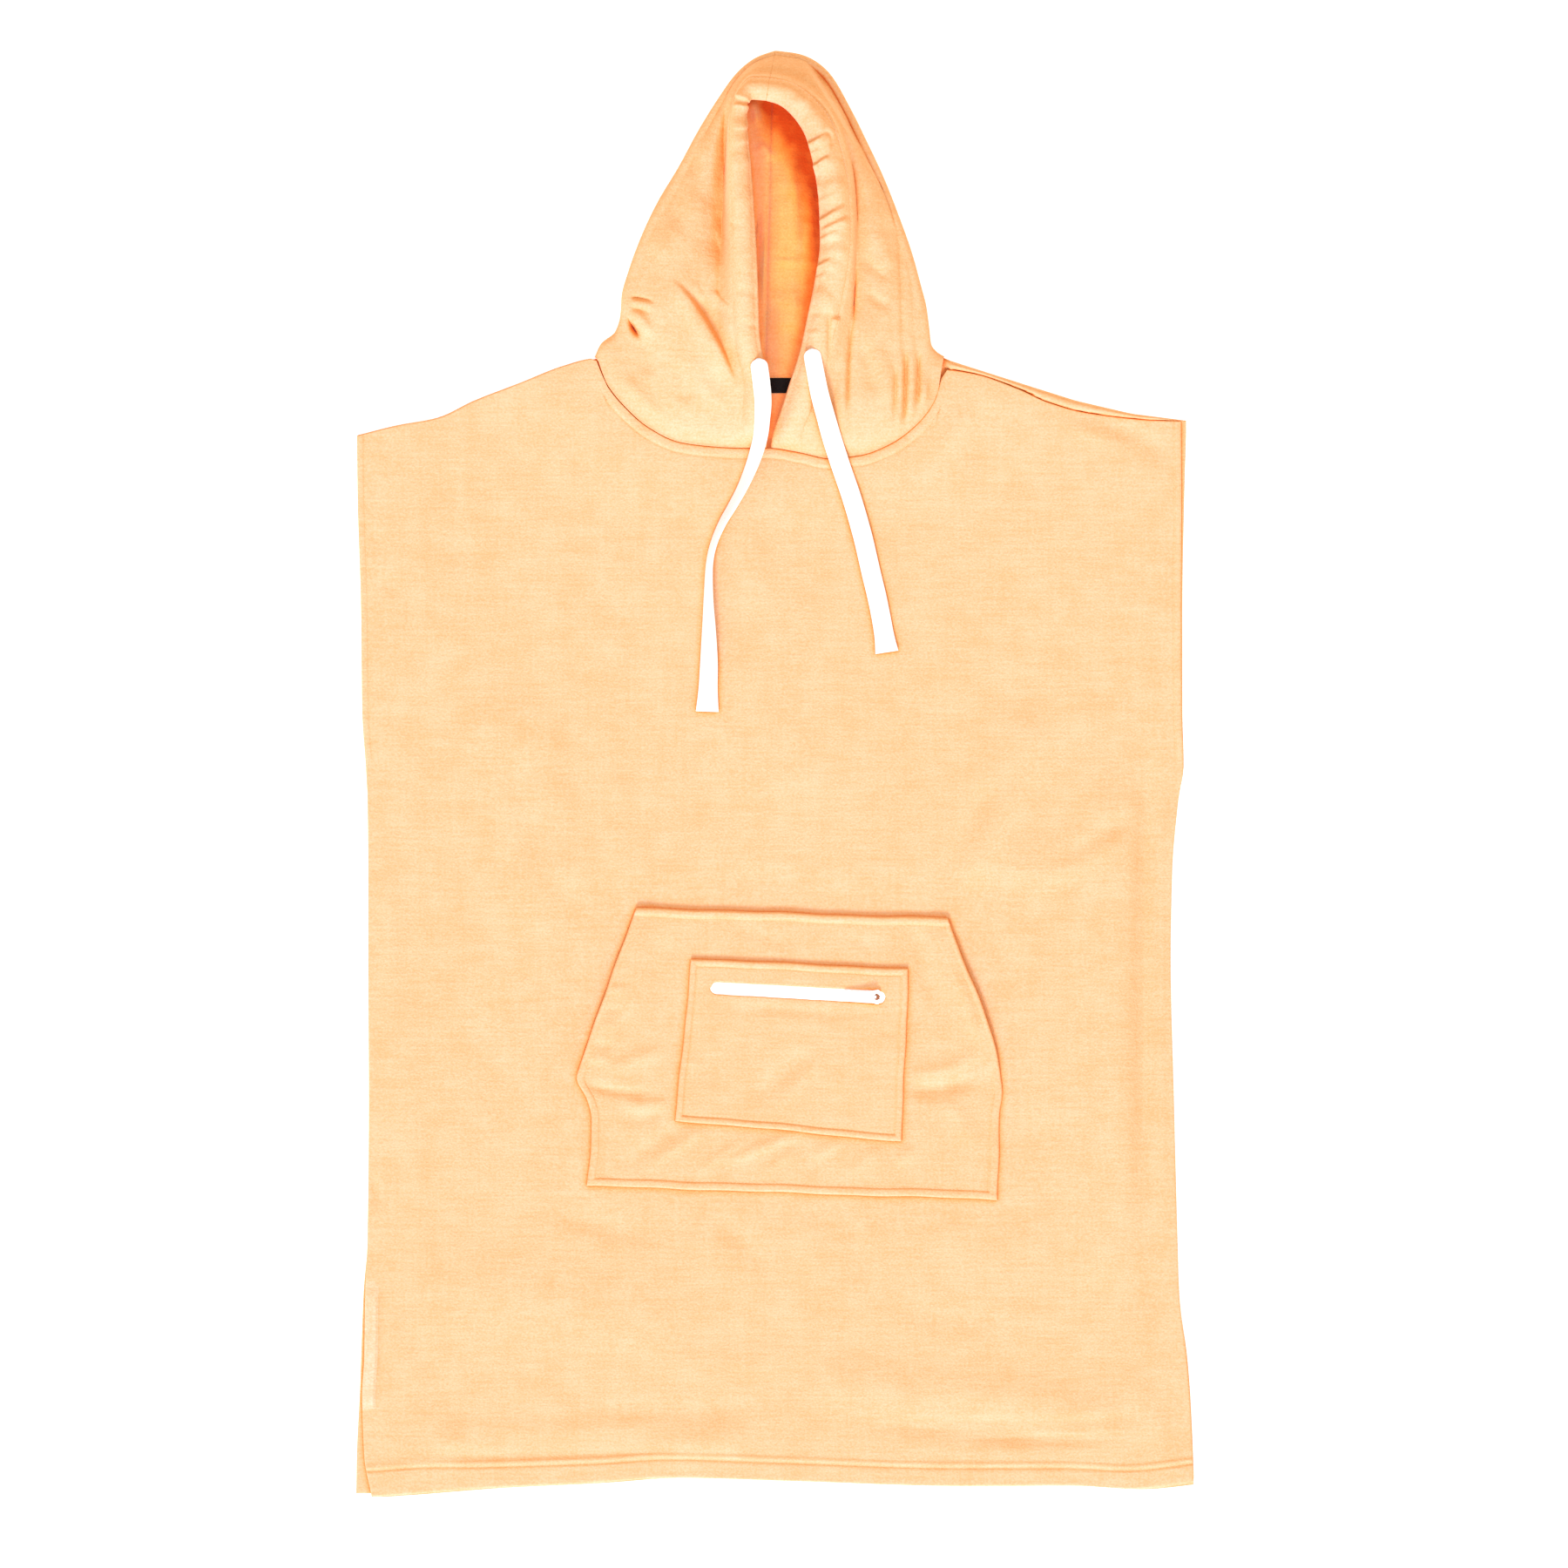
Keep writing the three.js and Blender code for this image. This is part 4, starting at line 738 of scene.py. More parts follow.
# How far the painted shade of crevices reaches, in metres
PANEL_REACH = 0.007
HOOD_REACH = 0.015
INSIDE_REACH = 0.08
# Strength of the inside's painted glow, which stands for light passing through the cloth
INSIDE_PAINTED_GLOW = 0.24
# Painted glow of the white zip parts, which stands for the light they send back and forth between them
WHITE_PAINTED_GLOW = 0.3
# Painted light and shade: the cloth is paler where it faces the key light and more orange where it turns
# away
PAINTED_LIGHT_BY_FACING = [(0.0, (0.97, 0.8, 0.52)), (0.35, (1, 0.93, 0.8)), (0.56, (1, 1, 1)), (0.85, (1, 1.07, 1.2))]
# Painted shade by how much the hood covers a place of its inside, from open to covered; it also colours the
# painted glow
COVER_PAINTED_SHADE = [
    (0.0, (1, 0.82, 0.5)),
    (0.35, (0.99, 0.68, 0.29)),
    (0.7, (0.87, 0.38, 0.1)),
    (1.0, (0.64, 0.13, 0.025)),
]
KEY = {"strength": 2.22, "spread": 14, "height": 34, "heading": -100}
# Noises of the terry, by how many waves they have in a metre, and their shares in its mottle
TERRY = {"patches": 40, "streaks": (24, 380, 120), "warp": (230, 16, 120), "grain": 480, "loops": 560}
MOTTLE = {"warp": 0.3, "streaks": 0.43, "grain": 0.45}


def terry_material(name, reach, colours, painted_glow=0.0):
    """Peach terry: short loops under a soft nap, with faint streaks along the weft. Its colour holds painted
    shade, darker and more orange in crevices, and painted light and shade by how it faces the key light.

    Its glow is painted light that stands for the light passing through the cloth above it; with it comes
    painted shade from the cover attribute.
    """
    material, tree, shader = new_material(name)
    shader.inputs["Emission Strength"].default_value = painted_glow
    place = add_node(tree, "TexCoord").outputs["Object"]
    patches = noise_on(tree, place, TERRY["patches"], 3.0)
    streaks = noise_on(tree, place, 1, 4.0, stretch=TERRY["streaks"])
    warp = noise_on(tree, place, 1, 3.0, stretch=TERRY["warp"])
    grain = noise_on(tree, place, TERRY["grain"], 3.0)
    soft = blend_values(tree, patches, warp, MOTTLE["warp"])
    mottle = blend_values(tree, blend_values(tree, soft, streaks, MOTTLE["streaks"]), grain, MOTTLE["grain"])
    # Painted shade: darker and more orange where the cloth lies in a crevice
    openness = add_node(tree, "AmbientOcclusion", samples=4, Distance=reach).outputs["AO"]
    peach = ramp_on(tree, openness, colours)
    speckle = ramp_on(tree, mottle, [(0.4, MOTTLE_DARK), (0.6, MOTTLE_LIGHT)])
    # Painted light and shade by how the surface faces the key light
    facing = add_node(tree, "VectorMath", operation="DOT_PRODUCT")
    facing.inputs[1].default_value = direction_of(KEY["height"], KEY["heading"])
    tree.links.new(add_node(tree, "NewGeometry").outputs["Normal"], facing.inputs[0])
    painted_facing_light = ramp_on(tree, facing.outputs["Value"], PAINTED_LIGHT_BY_FACING)
    cloth = multiply_colours(tree, multiply_colours(tree, peach, speckle), painted_facing_light)
    # Painted shade under the hood, from its attribute, which also colours the painted glow
    if painted_glow:
        painted_shade_cover = add_node(tree, "Attribute", attribute_name="painted_shade_cover").outputs["Fac"]
        painted_cover_colour = ramp_on(tree, painted_shade_cover, COVER_PAINTED_SHADE)
        cloth = multiply_colours(tree, cloth, painted_cover_colour)
        tree.links.new(multiply_colours(tree, painted_cover_colour, speckle), shader.inputs["Emission Color"])
    tree.links.new(cloth, shader.inputs["Base Color"])
    loops = add_node(tree, "TexVoronoi", Scale=TERRY["loops"], Randomness=1.0)
    tree.links.new(place, loops.inputs["Vector"])
    bump_on(
        tree,
        shader,
        (loops.outputs["Distance"], 0.35, 0.0009),
        (grain, 0.3, 0.0008),
        (streaks, 0.25, 0.0009),
    )
    set_sockets(shader, Roughness=1.0, Specular_IOR_Level=0.12, Sheen_Weight=0.25, Sheen_Roughness=0.5)
    shader.inputs["Sheen Tint"].default_value = (1, 0.86, 0.7, 1)
    return material


def noisy_material(name, scale, stops, bump, stretch=None, **finish):
    """A material whose colour and bump follow one noise, and which, if it glows, glows in its colour as
    painted light.
    """
    material, tree, shader = new_material(name)
    place = add_node(tree, "TexCoord").outputs["Object"]
    noise = noise_on(tree, place, scale, 1.0, stretch)
    colour = ramp_on(tree, noise, stops)
    tree.links.new(colour, shader.inputs["Base Color"])
    bump_on(tree, shader, (noise, *bump))
    set_sockets(shader, **finish)
    if "Emission_Strength" in finish:
        tree.links.new(colour, shader.inputs["Emission Color"])
    return material


def thread_material():
    stops = [(0.35, (0.95, 0.55, 0.3)), (0.65, (0.965, 0.64, 0.4))]
    return noisy_material("peach_thread", 2400, stops, (0.4, 0.0002), Roughness=0.7, Specular_IOR_Level=0.3)


def cord_material():
    """White flat braid: its UV map runs along the cord in metres, and round it."""
    material, tree, shader = new_material("white_braid")
    place = add_node(tree, "TexCoord").outputs["UV"]
    mapping = add_node(tree, "Mapping")
    mapping.inputs["Scale"].default_value = (460, 560, 1)
    tree.links.new(place, mapping.inputs["Vector"])
    braid = add_node(tree, "TexBrick", Scale=1.0, Mortar_Size=0.12, Mortar_Smooth=0.6)
    tree.links.new(mapping.outputs["Vector"], braid.inputs["Vector"])
    fibres = noise_on(tree, add_node(tree, "TexCoord").outputs["Object"], 1500, 2.0)
    colour = ramp_on(tree, fibres, [(0.3, (0.93, 0.915, 0.88)), (0.7, (0.975, 0.965, 0.945))])
    tree.links.new(colour, shader.inputs["Base Color"])
    bump_on(tree, shader, (braid.outputs["Fac"], -0.5, 0.0005), (fibres, 0.3, 0.0003))
    set_sockets(shader, Roughness=0.85, Specular_IOR_Level=0.25, Sheen_Weight=0.2)
    return material


def tape_material():
    stops = [(0.3, (0.93, 0.92, 0.9)), (0.7, (0.97, 0.965, 0.955))]
    weave = (2600, 900, 900)
    finish = {"Roughness": 0.75, "Specular_IOR_Level": 0.3}
    return noisy_material("white_tape", 1, stops, (0.5, 0.0003), weave, **finish)


def chain_material():
    stops = [(0.3, (0.93, 0.925, 0.91)), (0.7, (0.965, 0.96, 0.95))]
    # The chain glows faintly in its colour, as painted light
    finish = {"Roughness": 0.4, "Specular_IOR_Level": 0.45, "Emission_Strength": WHITE_PAINTED_GLOW}
    return noisy_material("white_nylon", 700, stops, (0.1, 0.0002), **finish)


def enamel_material():
    """White enamel on metal, rusted brown where the bridge has worn bare. It glows faintly in its colour, as
    painted light.
    """
    material, tree, shader = new_material("white_enamel")
    place = add_node(tree, "TexCoord").outputs["Object"]
    along, across = math.cos(ZIP["tilt"]), math.sin(ZIP["tilt"])
    spot_x = ZIP["x"] + (SLIDER["x"] + RUST["x"]) * along
    spot_y = ZIP["y"] + (SLIDER["x"] + RUST["x"]) * across
    offset = add_node(tree, "VectorMath", operation="DISTANCE")
    offset.inputs[1].default_value = (spot_x * MM, spot_y * MM, RUST["z"] * MM)
    tree.links.new(place, offset.inputs[0])
    ragged = noise_on(tree, place, 900, 3.0)
    spread = add_node(tree, "Math", operation="MULTIPLY_ADD")
    spread.inputs[1].default_value = RUST["ragged"] * MM
    tree.links.new(ragged, spread.inputs[0])
    tree.links.new(offset.outputs["Value"], spread.inputs[2])
    inner, outer = (RUST["radius"] - RUST["edge"]) * MM, RUST["radius"] * MM
    amount = add_node(tree, "MapRange", From_Min=inner, From_Max=outer, To_Min=1.0, To_Max=0.0)
    tree.links.new(spread.outputs["Value"], amount.inputs["Value"])
    colour = ramp_on(tree, amount.outputs["Result"], [(0.2, (0.95, 0.945, 0.93)), (0.7, (0.3, 0.09, 0.03))])
    tree.links.new(colour, shader.inputs["Base Color"])
    bump_on(tree, shader, (ragged, 0.15, 0.0002))
    set_sockets(shader, Roughness=0.35, Specular_IOR_Level=0.5, Emission_Strength=WHITE_PAINTED_GLOW)
    tree.links.new(colour, shader.inputs["Emission Color"])
    return material


def label_material():
    stops = [(0.3, (0.003, 0.003, 0.0035)), (0.7, (0.009, 0.009, 0.01))]
    weave = (900, 3200, 900)
    finish = {"Roughness": 0.6, "Specular_IOR_Level": 0.15}
    return noisy_material("black_satin", 1, stops, (0.4, 0.0002), weave, **finish)


def floor_material():
    material, tree, shader = new_material("pale_floor")
    place = add_node(tree, "TexCoord").outputs["Object"]
    cloud = noise_on(tree, place, 2, 1.0)
    colour = ramp_on(tree, cloud, [(0.3, (0.955, 0.955, 0.955)), (0.7, (0.965, 0.965, 0.965))])
    tree.links.new(colour, shader.inputs["Base Color"])
    set_sockets(shader, Roughness=1.0, Specular_IOR_Level=0.0, Emission_Strength=0.5)
    shader.inputs["Emission Color"].default_value = (1, 1, 1, 1)
    return material


# Forms that several pieces use


def smooth(share):
    share = np.clip(share, 0, 1)
    return share * share * (3 - 2 * share)


def lerp(a, b, share):
    return a + (b - a) * share


def hermite(t, width, start, end, start_slope, end_slope):
    """Value at a share t of the way over a width, with a given slope at each end."""
    t2, t3 = t * t, t * t * t
    before = (2 * t3 - 3 * t2 + 1) * start + (t3 - 2 * t2 + t) * width * start_slope
    after = (3 * t2 - 2 * t3) * end + (t3 - t2) * width * end_slope
    return before + after


def smooth_line(xs, ys, at):
    """Values on a smooth line that never overshoots ys at xs. It may have several rows of ys."""
    widths = np.diff(xs)
    rises = np.diff(ys, axis=-1) / widths
    product = rises[..., :-1] * rises[..., 1:]
    total = np.where(product > 0, rises[..., :-1] + rises[..., 1:], 1)
    inner = np.where(product > 0, 2 * product / total, 0)
    slopes = np.concatenate([rises[..., :1], inner, rises[..., -1:]], axis=-1)
    here = np.clip(at, xs[0], xs[-1])
    i = np.clip(np.searchsorted(xs, here, side="right") - 1, 0, len(xs) - 2)
    t = (here - xs[i]) / widths[i]
    return hermite(t, widths[i], ys[..., i], ys[..., i + 1], slopes[..., i], slopes[..., i + 1])


def read(rows, key, column, at):
    """Value of a column at a key, on a smooth line through the rows."""
    order = np.argsort(rows[key], kind="stable")
    return smooth_line(rows[key][order], rows[column][order], at)


def folds_at(rows, x, y):
    """Height of the large folds: the highest ridge and the deepest trough at each point."""
    ridge = np.zeros_like(x)
    trough = np.zeros_like(x)
    for x1, y1, x2, y2, height, width in zip(*rows.values()):
        run = math.hypot(x2 - x1, y2 - y1)
        dx, dy = (x2 - x1) / run, (y2 - y1) / run
        forward = (x - x1) * dx + (y - y1) * dy
        aside = (x - x1) * dy - (y - y1) * dx
        past = np.maximum(0, np.maximum(-forward, forward - run))
        here = height * np.exp(-(aside**2 + past**2) / width**2)
        ridge = np.maximum(ridge, here)
        trough = np.minimum(trough, here)
    return ridge + trough


def creases_at(rows, x, y):
    """Height that creases add at each point: each fades at its ends and has its own two side widths."""
    total = np.zeros_like(x)
    for x1, y1, xm, ym, x2, y2, height, left, right in zip(*rows.values()):
        reach = 3 * max(left, right)
        near = (x > min(x1, xm, x2) - reach) & (x < max(x1, xm, x2) + reach)
        near &= (y > min(y1, ym, y2) - reach) & (y < max(y1, ym, y2) + reach)
        if not near.any():
            continue
        px, py = x[near], y[near]
        start, end = np.array([x1, y1]), np.array([x2, y2])
        control = 2 * np.array([xm, ym]) - (start + end) / 2
        t = np.linspace(0, 1, CREASE_STEPS + 1)[:, None]
        way = (1 - t) ** 2 * start + 2 * t * (1 - t) * control + t**2 * end
        best = np.full(px.shape, np.inf)
        side = np.zeros(px.shape)
        share = np.zeros(px.shape)
        for k in range(CREASE_STEPS):
            run = way[k + 1] - way[k]
            forward = ((px - way[k][0]) * run[0] + (py - way[k][1]) * run[1]) / (run @ run)
            forward = np.clip(forward, 0, 1)
            dx = px - way[k][0] - forward * run[0]
            dy = py - way[k][1] - forward * run[1]
            square = dx * dx + dy * dy
            closer = square < best
            best = np.where(closer, square, best)
            side = np.where(closer, run[0] * dy - run[1] * dx, side)
            share = np.where(closer, (k + forward) / CREASE_STEPS, share)
        width = np.where(side > 0, left, right)
        fade = smooth(np.minimum(share, 1 - share) / CREASE_FADE)
        total[near] += height * fade * np.exp(-best / width**2)
    return total


def unevenness(x, y, height=0.11, shortest=14, longest=60):
    """Small unevenness of cloth that lies loose, from waves in many directions."""
    total = np.zeros_like(x)
    for angle, size, phase, weight in WAVES:
        length = shortest * (longest / shortest) ** size
        way = x * math.cos(math.pi * angle) + y * math.sin(math.pi * angle)
        total += (0.4 + weight) * np.sin(2 * math.pi * (way / length + phase))
    return height * total / math.sqrt(len(WAVES))


def groove(distance, at, depth, width):
    return -depth * np.exp(-(((distance - at) / width) ** 2))


def swell(distance, seam):
    """A sewn edge that swells between the outline and its stitch line."""
    share = np.clip(distance / seam["inset"], 0, 1)
    return seam["swell"] * np.sqrt(np.sin(math.pi * (0.12 + 0.88 * share)) * (share < 1))


def furrow(distance, seam):
    """The furrow along a seam's stitches."""
    return groove(distance, seam["inset"], seam["depth"], seam["width"])


def sway(x, y, size):
    """The small wandering of a sewn edge, as a shift of the points there."""
    across = np.sin(y / 19 + 0.6) + 0.6 * np.sin(y / 7.9 + 2) + 0.4 * np.sin((x + y) / 31)
    along = np.sin(x / 23 + 1.4) + 0.6 * np.sin(x / 9.3 + 0.5) + 0.4 * np.sin((x - y) / 37)
    return x + size * across * 0.5, y + size * along * 0.5


def band(distance, start, end, height, soft=1.2):
    return height * smooth((distance - start) / soft + 0.5) * smooth((end - distance) / soft + 0.5)


def rim(distance, radius=RIM):
    """How far a rounded edge drops at a distance from the outline."""
    short = np.clip(1 - distance / radius, 0, 1)
    return radius * (1 - np.sqrt(1 - short**2))


def stations(total, near_start, near_end, step):
    """Distances over a panel: those listed near each edge, and an even step between."""
    start, end = np.array(near_start, float), total - np.array(near_end, float)[::-1]
    count = max(2, round((end[0] - start[-1]) / step))
    return np.concatenate([start, np.linspace(start[-1], end[0], count + 1)[1:-1], end])


def shell(name, upper, lower, material, present=None, lining=None, lined_above=None):
    """A closed mesh between two grids of points, made of the cells that are present.

    A second material covers the lower grid, or else the marked cells of the upper one.
    """
    rows, columns = upper.shape[:2]
    cells = np.ones((rows - 1, columns - 1), bool) if present is None else present
    index = np.arange(rows * columns).reshape(rows, columns)
    corners = np.stack([index[:-1, :-1], index[:-1, 1:], index[1:, 1:], index[1:, :-1]], -1)
    size = rows * columns
    faces = [corners[cells], corners[cells][:, ::-1] + size]
    around = np.pad(cells, 1)
    neighbours = [around[:-2, 1:-1], around[1:-1, 2:], around[2:, 1:-1], around[1:-1, :-2]]
    for k, neighbour in enumerate(neighbours):
        open_cells = corners[cells & ~neighbour]
        first, second = open_cells[:, k], open_cells[:, (k + 1) % 4]
        faces.append(np.stack([second, first, first + size, second + size], -1))
    points = np.concatenate([upper.reshape(-1, 3), lower.reshape(-1, 3)])
    inner = np.zeros(sum(len(part) for part in faces), int)
    if lined_above is not None:
        inner[: len(faces[0])] = lined_above[cells]
    elif lining is not None:
        inner[len(faces[0]) : len(faces[0]) + len(faces[1])] = 1
    return mesh_object(name, points, np.concatenate(faces).tolist(), material, lining, inner)


def mesh_object(name, points, faces, material, second=None, uses_second=None):
    """A smooth object from points in millimetres, with its faces turned outward."""
    mesh = bpy.data.meshes.new(name)
    mesh.from_pydata((np.asarray(points) * MM).tolist(), [], faces)
    if second is not None:
        mesh.polygons.foreach_set("material_index", uses_second)
    shape = bmesh.new()
    shape.from_mesh(mesh)
    loose = [v for v in shape.verts if not v.link_faces]
    bmesh.ops.delete(shape, geom=loose, context="VERTS")
    bmesh.ops.recalc_face_normals(shape, faces=shape.faces)
    shape.to_mesh(mesh)
    shape.free()
    mesh.polygons.foreach_set("use_smooth", [True] * len(mesh.polygons))
    mesh.materials.append(material)
    if second is not None:
        mesh.materials.append(second)
    piece = bpy.data.objects.new(name, mesh)
    scene.collection.objects.link(piece)
    return piece


def layer(name, x, y, top, bottom, material, **settings):
    """A shell between two heights over one grid of places."""
    return shell(name, np.stack([x, y, top], -1), np.stack([x, y, bottom], -1), material, **settings)


def tube_faces(first, rings, sides):
    """Faces round a tube whose rings of points start at a number, open at both ends."""
    faces = []
    for i in range(rings - 1):
        a, b = first + i * sides, first + (i + 1) * sides
        for j in range(sides):
            k = (j + 1) % sides
            faces.append((a + j, a + k, b + k, b + j))
    return faces


def rod_faces(first, rings, sides):
    """Faces of such a tube with its two flat ends."""
    last = first + (rings - 1) * sides
    ends = [tuple(first + j for j in reversed(range(sides))), tuple(last + j for j in range(sides))]
    return tube_faces(first, rings, sides) + ends


def finish_piece(piece, body="garment", replaced=()):
    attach(piece, body)
    if replaced:
        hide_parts(*replaced)
    return piece


# Cords


def distances_along(line):
    """Distance of each point of a line from its first, along the line."""
    return np.concatenate([[0], np.cumsum(np.linalg.norm(np.diff(line[:, :3], axis=0), axis=1))])


def at_distances(line, lengths, places):
    """Rows of a line at places along it."""
    return np.stack([np.interp(places, lengths, column) for column in line.T], -1)


def curve_through(route, steps):
    """Evenly spaced rows of a smooth line through a route, and its length."""
    values = np.stack(list(route.values()), -1)
    chord = np.sqrt(np.linalg.norm(np.diff(values[:, :3], axis=0), axis=1))
    knots = np.concatenate([[0], np.cumsum(chord)])
    fine = np.linspace(0, knots[-1], steps * 8)
    slopes = np.gradient(values, knots, axis=0)
    i = np.clip(np.searchsorted(knots, fine, side="right") - 1, 0, len(knots) - 2)
    width = (knots[i + 1] - knots[i])[:, None]
    t = (fine - knots[i])[:, None] / width
    line = hermite(t, width, values[i], values[i + 1], slopes[i], slopes[i + 1])
    lengths = distances_along(line)
    return at_distances(line, lengths, np.linspace(0, lengths[-1], steps + 1)), lengths[-1]


def cord_rings(line, along, length):
    """Rings of points round a flat braid, which turns on its edge as its route says."""
    centres = line[:, :3]
    tangents = np.gradient(centres, axis=0)
    tangents /= np.linalg.norm(tangents, axis=1)[:, None]
    across = np.cross(tangents, (0, 0, 1))
    across /= np.linalg.norm(across, axis=1)[:, None]
    through = np.cross(across, tangents)
    turn = np.radians(line[:, 3])[:, None]
    wide = across * np.cos(turn) - through * np.sin(turn)
    thick = np.cross(wide, tangents)
    rounded = np.sqrt(np.clip(1 - (1 - along / CORD_ROUNDING) ** 2, 0.02, 1))
    start = np.where(along < CORD_ROUNDING, rounded, 1)
    end = np.clip((length - along) / CORD_TAPER, 0, 1)
    half_wide = CORD_WIDTH / 2 * line[:, 4] * start
    half_thick = CORD_THICKNESS / 2 * (0.35 + 0.65 * start) * (0.5 + 0.5 * end)
    angles = np.linspace(0, 2 * math.pi, CORD_SIDES, endpoint=False)
    cos, sin = np.cos(angles), np.sin(angles)
    flat_cos = np.sign(cos) * np.abs(cos) ** 0.75
    flat_sin = np.sign(sin) * np.abs(sin) ** 0.55
    rings = centres[:, None] + wide[:, None] * (half_wide[:, None] * flat_cos)[..., None]
    rings = rings + thick[:, None] * (half_thick[:, None] * flat_sin)[..., None]
    rings[0] -= tangents[0] * 0.2
    return rings


def flat_cord(name, route, material):
    """A flat braid, rounded where it leaves the casing and flared at its cut end."""
    line, length = curve_through(route, CORD_STEPS)
    centres = line[:, :3]
    along = np.linspace(0, length, CORD_STEPS + 1)
    rings = cord_rings(line, along, length)
    points = np.concatenate([rings.reshape(-1, 3), centres[:1], centres[-1:]])
    faces = tube_faces(0, CORD_STEPS + 1, CORD_SIDES)
    last = CORD_STEPS * CORD_SIDES
    for j in range(CORD_SIDES):
        k = (j + 1) % CORD_SIDES
        faces.append((len(points) - 2, k, j))
        faces.append((len(points) - 1, last + j, last + k))
    piece = mesh_object(name, points, faces, material)
    add_cord_uv(piece, along)
    return piece


def add_cord_uv(piece, along):
    """UV map in metres: along the cord, and round its section."""
    mesh = piece.data
    layer = mesh.uv_layers.new(name="braid")
    girth = 2 * (CORD_WIDTH + CORD_THICKNESS) * MM
    for polygon in mesh.polygons:
        sides = [v % CORD_SIDES for v in polygon.vertices]
        wraps = max(sides) - min(sides) > CORD_SIDES / 2
        for loop, vertex, side in zip(polygon.loop_indices, polygon.vertices, sides):
            ring = min(vertex // CORD_SIDES, CORD_STEPS)
            turn = side + (CORD_SIDES if wraps and side < CORD_SIDES / 2 else 0)
            layer.data[loop].uv = (along[ring] * MM, girth * turn / CORD_SIDES)


# Sewing


def resampled(line, pitch):
    """Points at an even pitch on a line of points, with the directions there."""
    lengths = distances_along(line)
    count = max(1, int(lengths[-1] / pitch))
    places = (np.arange(count) + 0.5) * lengths[-1] / count
    ways = at_distances(line, lengths, places + 0.5) - at_distances(line, lengths, places - 0.5)
    ways /= np.maximum(np.linalg.norm(ways, axis=1), 1e-6)[:, None]
    return at_distances(line, lengths, places), ways


def stitches(name, lines, material):
    """Small stitches along lines of points on the cloth, joined in one mesh."""
    length, width, height = STITCH["length"], STITCH["width"], STITCH["height"]
    angles = np.linspace(0, 2 * math.pi, STITCH_SIDES, endpoint=False)
    points, faces = [], []
    for line in lines:
        for place, way in zip(*resampled(line, STITCH["pitch"])):
            aside = np.cross(way, (0.0, 0.0, 1.0))
            aside /= np.linalg.norm(aside)
            over = np.cross(aside, way)
            faces += rod_faces(len(points), len(STITCH_RINGS), STITCH_SIDES)
            for share, full in STITCH_RINGS:
                middle = place + way * length * share + over * height * 0.5 * (full - 0.6)
                for angle in angles:
                    out = aside * math.cos(angle) * width + over * math.sin(angle) * height
                    points.append(middle + out * full / 2)
    piece = mesh_object(name, np.array(points), faces, material)
    return finish_piece(piece)


def on_cloth(surface, first, second):
    """Points for stitches, a little under the face of a surface at its two coordinates."""
    first, second = np.broadcast_arrays(np.asarray(first, float), np.asarray(second, float))
    x, y, top = surface(first, second)[:3]
    return np.stack([x, y, top - STITCH_SINK], -1)


# Front


def front_top_edge(x):
    return read(FRONT_TOP_EDGE, "x", "y", x)


def edge_cosine(edge, x):
    """Cosine of the slope of an edge given as y at x."""
    slope = (edge(x + 1) - edge(x - 1)) / 2
    return 1 / np.sqrt(1 + slope**2)


def from_flat_zone(x, y):
    """Distance of a place outside the flat zone under the pocket."""
    z = FLAT_ZONE
    return np.maximum.reduce([z["left"] - x, x - z["right"], z["bottom"] - y, y - z["top"], 0 * x])


def front_lift(x, y):
    """How far the front's underside stands above its flat base, as in its solid."""
    n, e = NECK_CENTRE, FRONT_EDGE
    reach = np.hypot((x - n["x"]) / n["half_width"], np.minimum(0, y - n["y"]) / n["depth"])
    from_seam = np.maximum(0, reach - n["seam"]) * n["depth"]
    neck = NECK_LIFT * (1 - smooth(from_seam / NECK_LIFT_REACH))
    from_edge = np.minimum.reduce([x - e["left"], e["right"] - x, y - e["bottom"], e["top"] - y])
    free = smooth(from_flat_zone(x, y) / FLAT_ZONE["margin"]) * smooth(from_edge / e["fade"])
    return neck + np.maximum(0, (FRONT_REST_LIFT + folds_at(FRONT_FOLDS, x, y)) * free)


def front_distances(x, y):
    """Distances of a place from the front's left, right, top and bottom edges."""
    left = x - read(BODY_SIDES, "y", "front_left", y)
    right = read(BODY_SIDES, "y", "front_right", y) - x
    top = (front_top_edge(x) - y) * edge_cosine(front_top_edge, x)
    return left, right, top, y - read(HEM, "x", "y", x)


def hem_relief(bottom, stitch):
    """The hem's doubled cloth, the furrow of its stitches and the ridge above them."""
    fold, ridge = HEM_FOLD, HEM_RIDGE
    relief = band(bottom, OUTSIDE, stitch - fold["short"], fold["height"], fold["soft"])
    relief += groove(bottom, stitch, fold["depth"], fold["width"])
    start, end = stitch + ridge["start"], stitch + ridge["end"]
    return relief + band(bottom, start, end, ridge["height"], ridge["soft"])


def facing_relief(left, y):
    """The facing turned in at the slit, and the furrow along it."""
    f, fade = FACING, SEAM_FADE["facing"]
    share = smooth((f["top"] - y) / fade) * smooth((y - f["bottom"]) / fade)
    raised = band(left, OUTSIDE, f["width"] - 1, f["height"])
    return share * (raised + groove(left, f["width"], f["depth"], f["furrow"]))


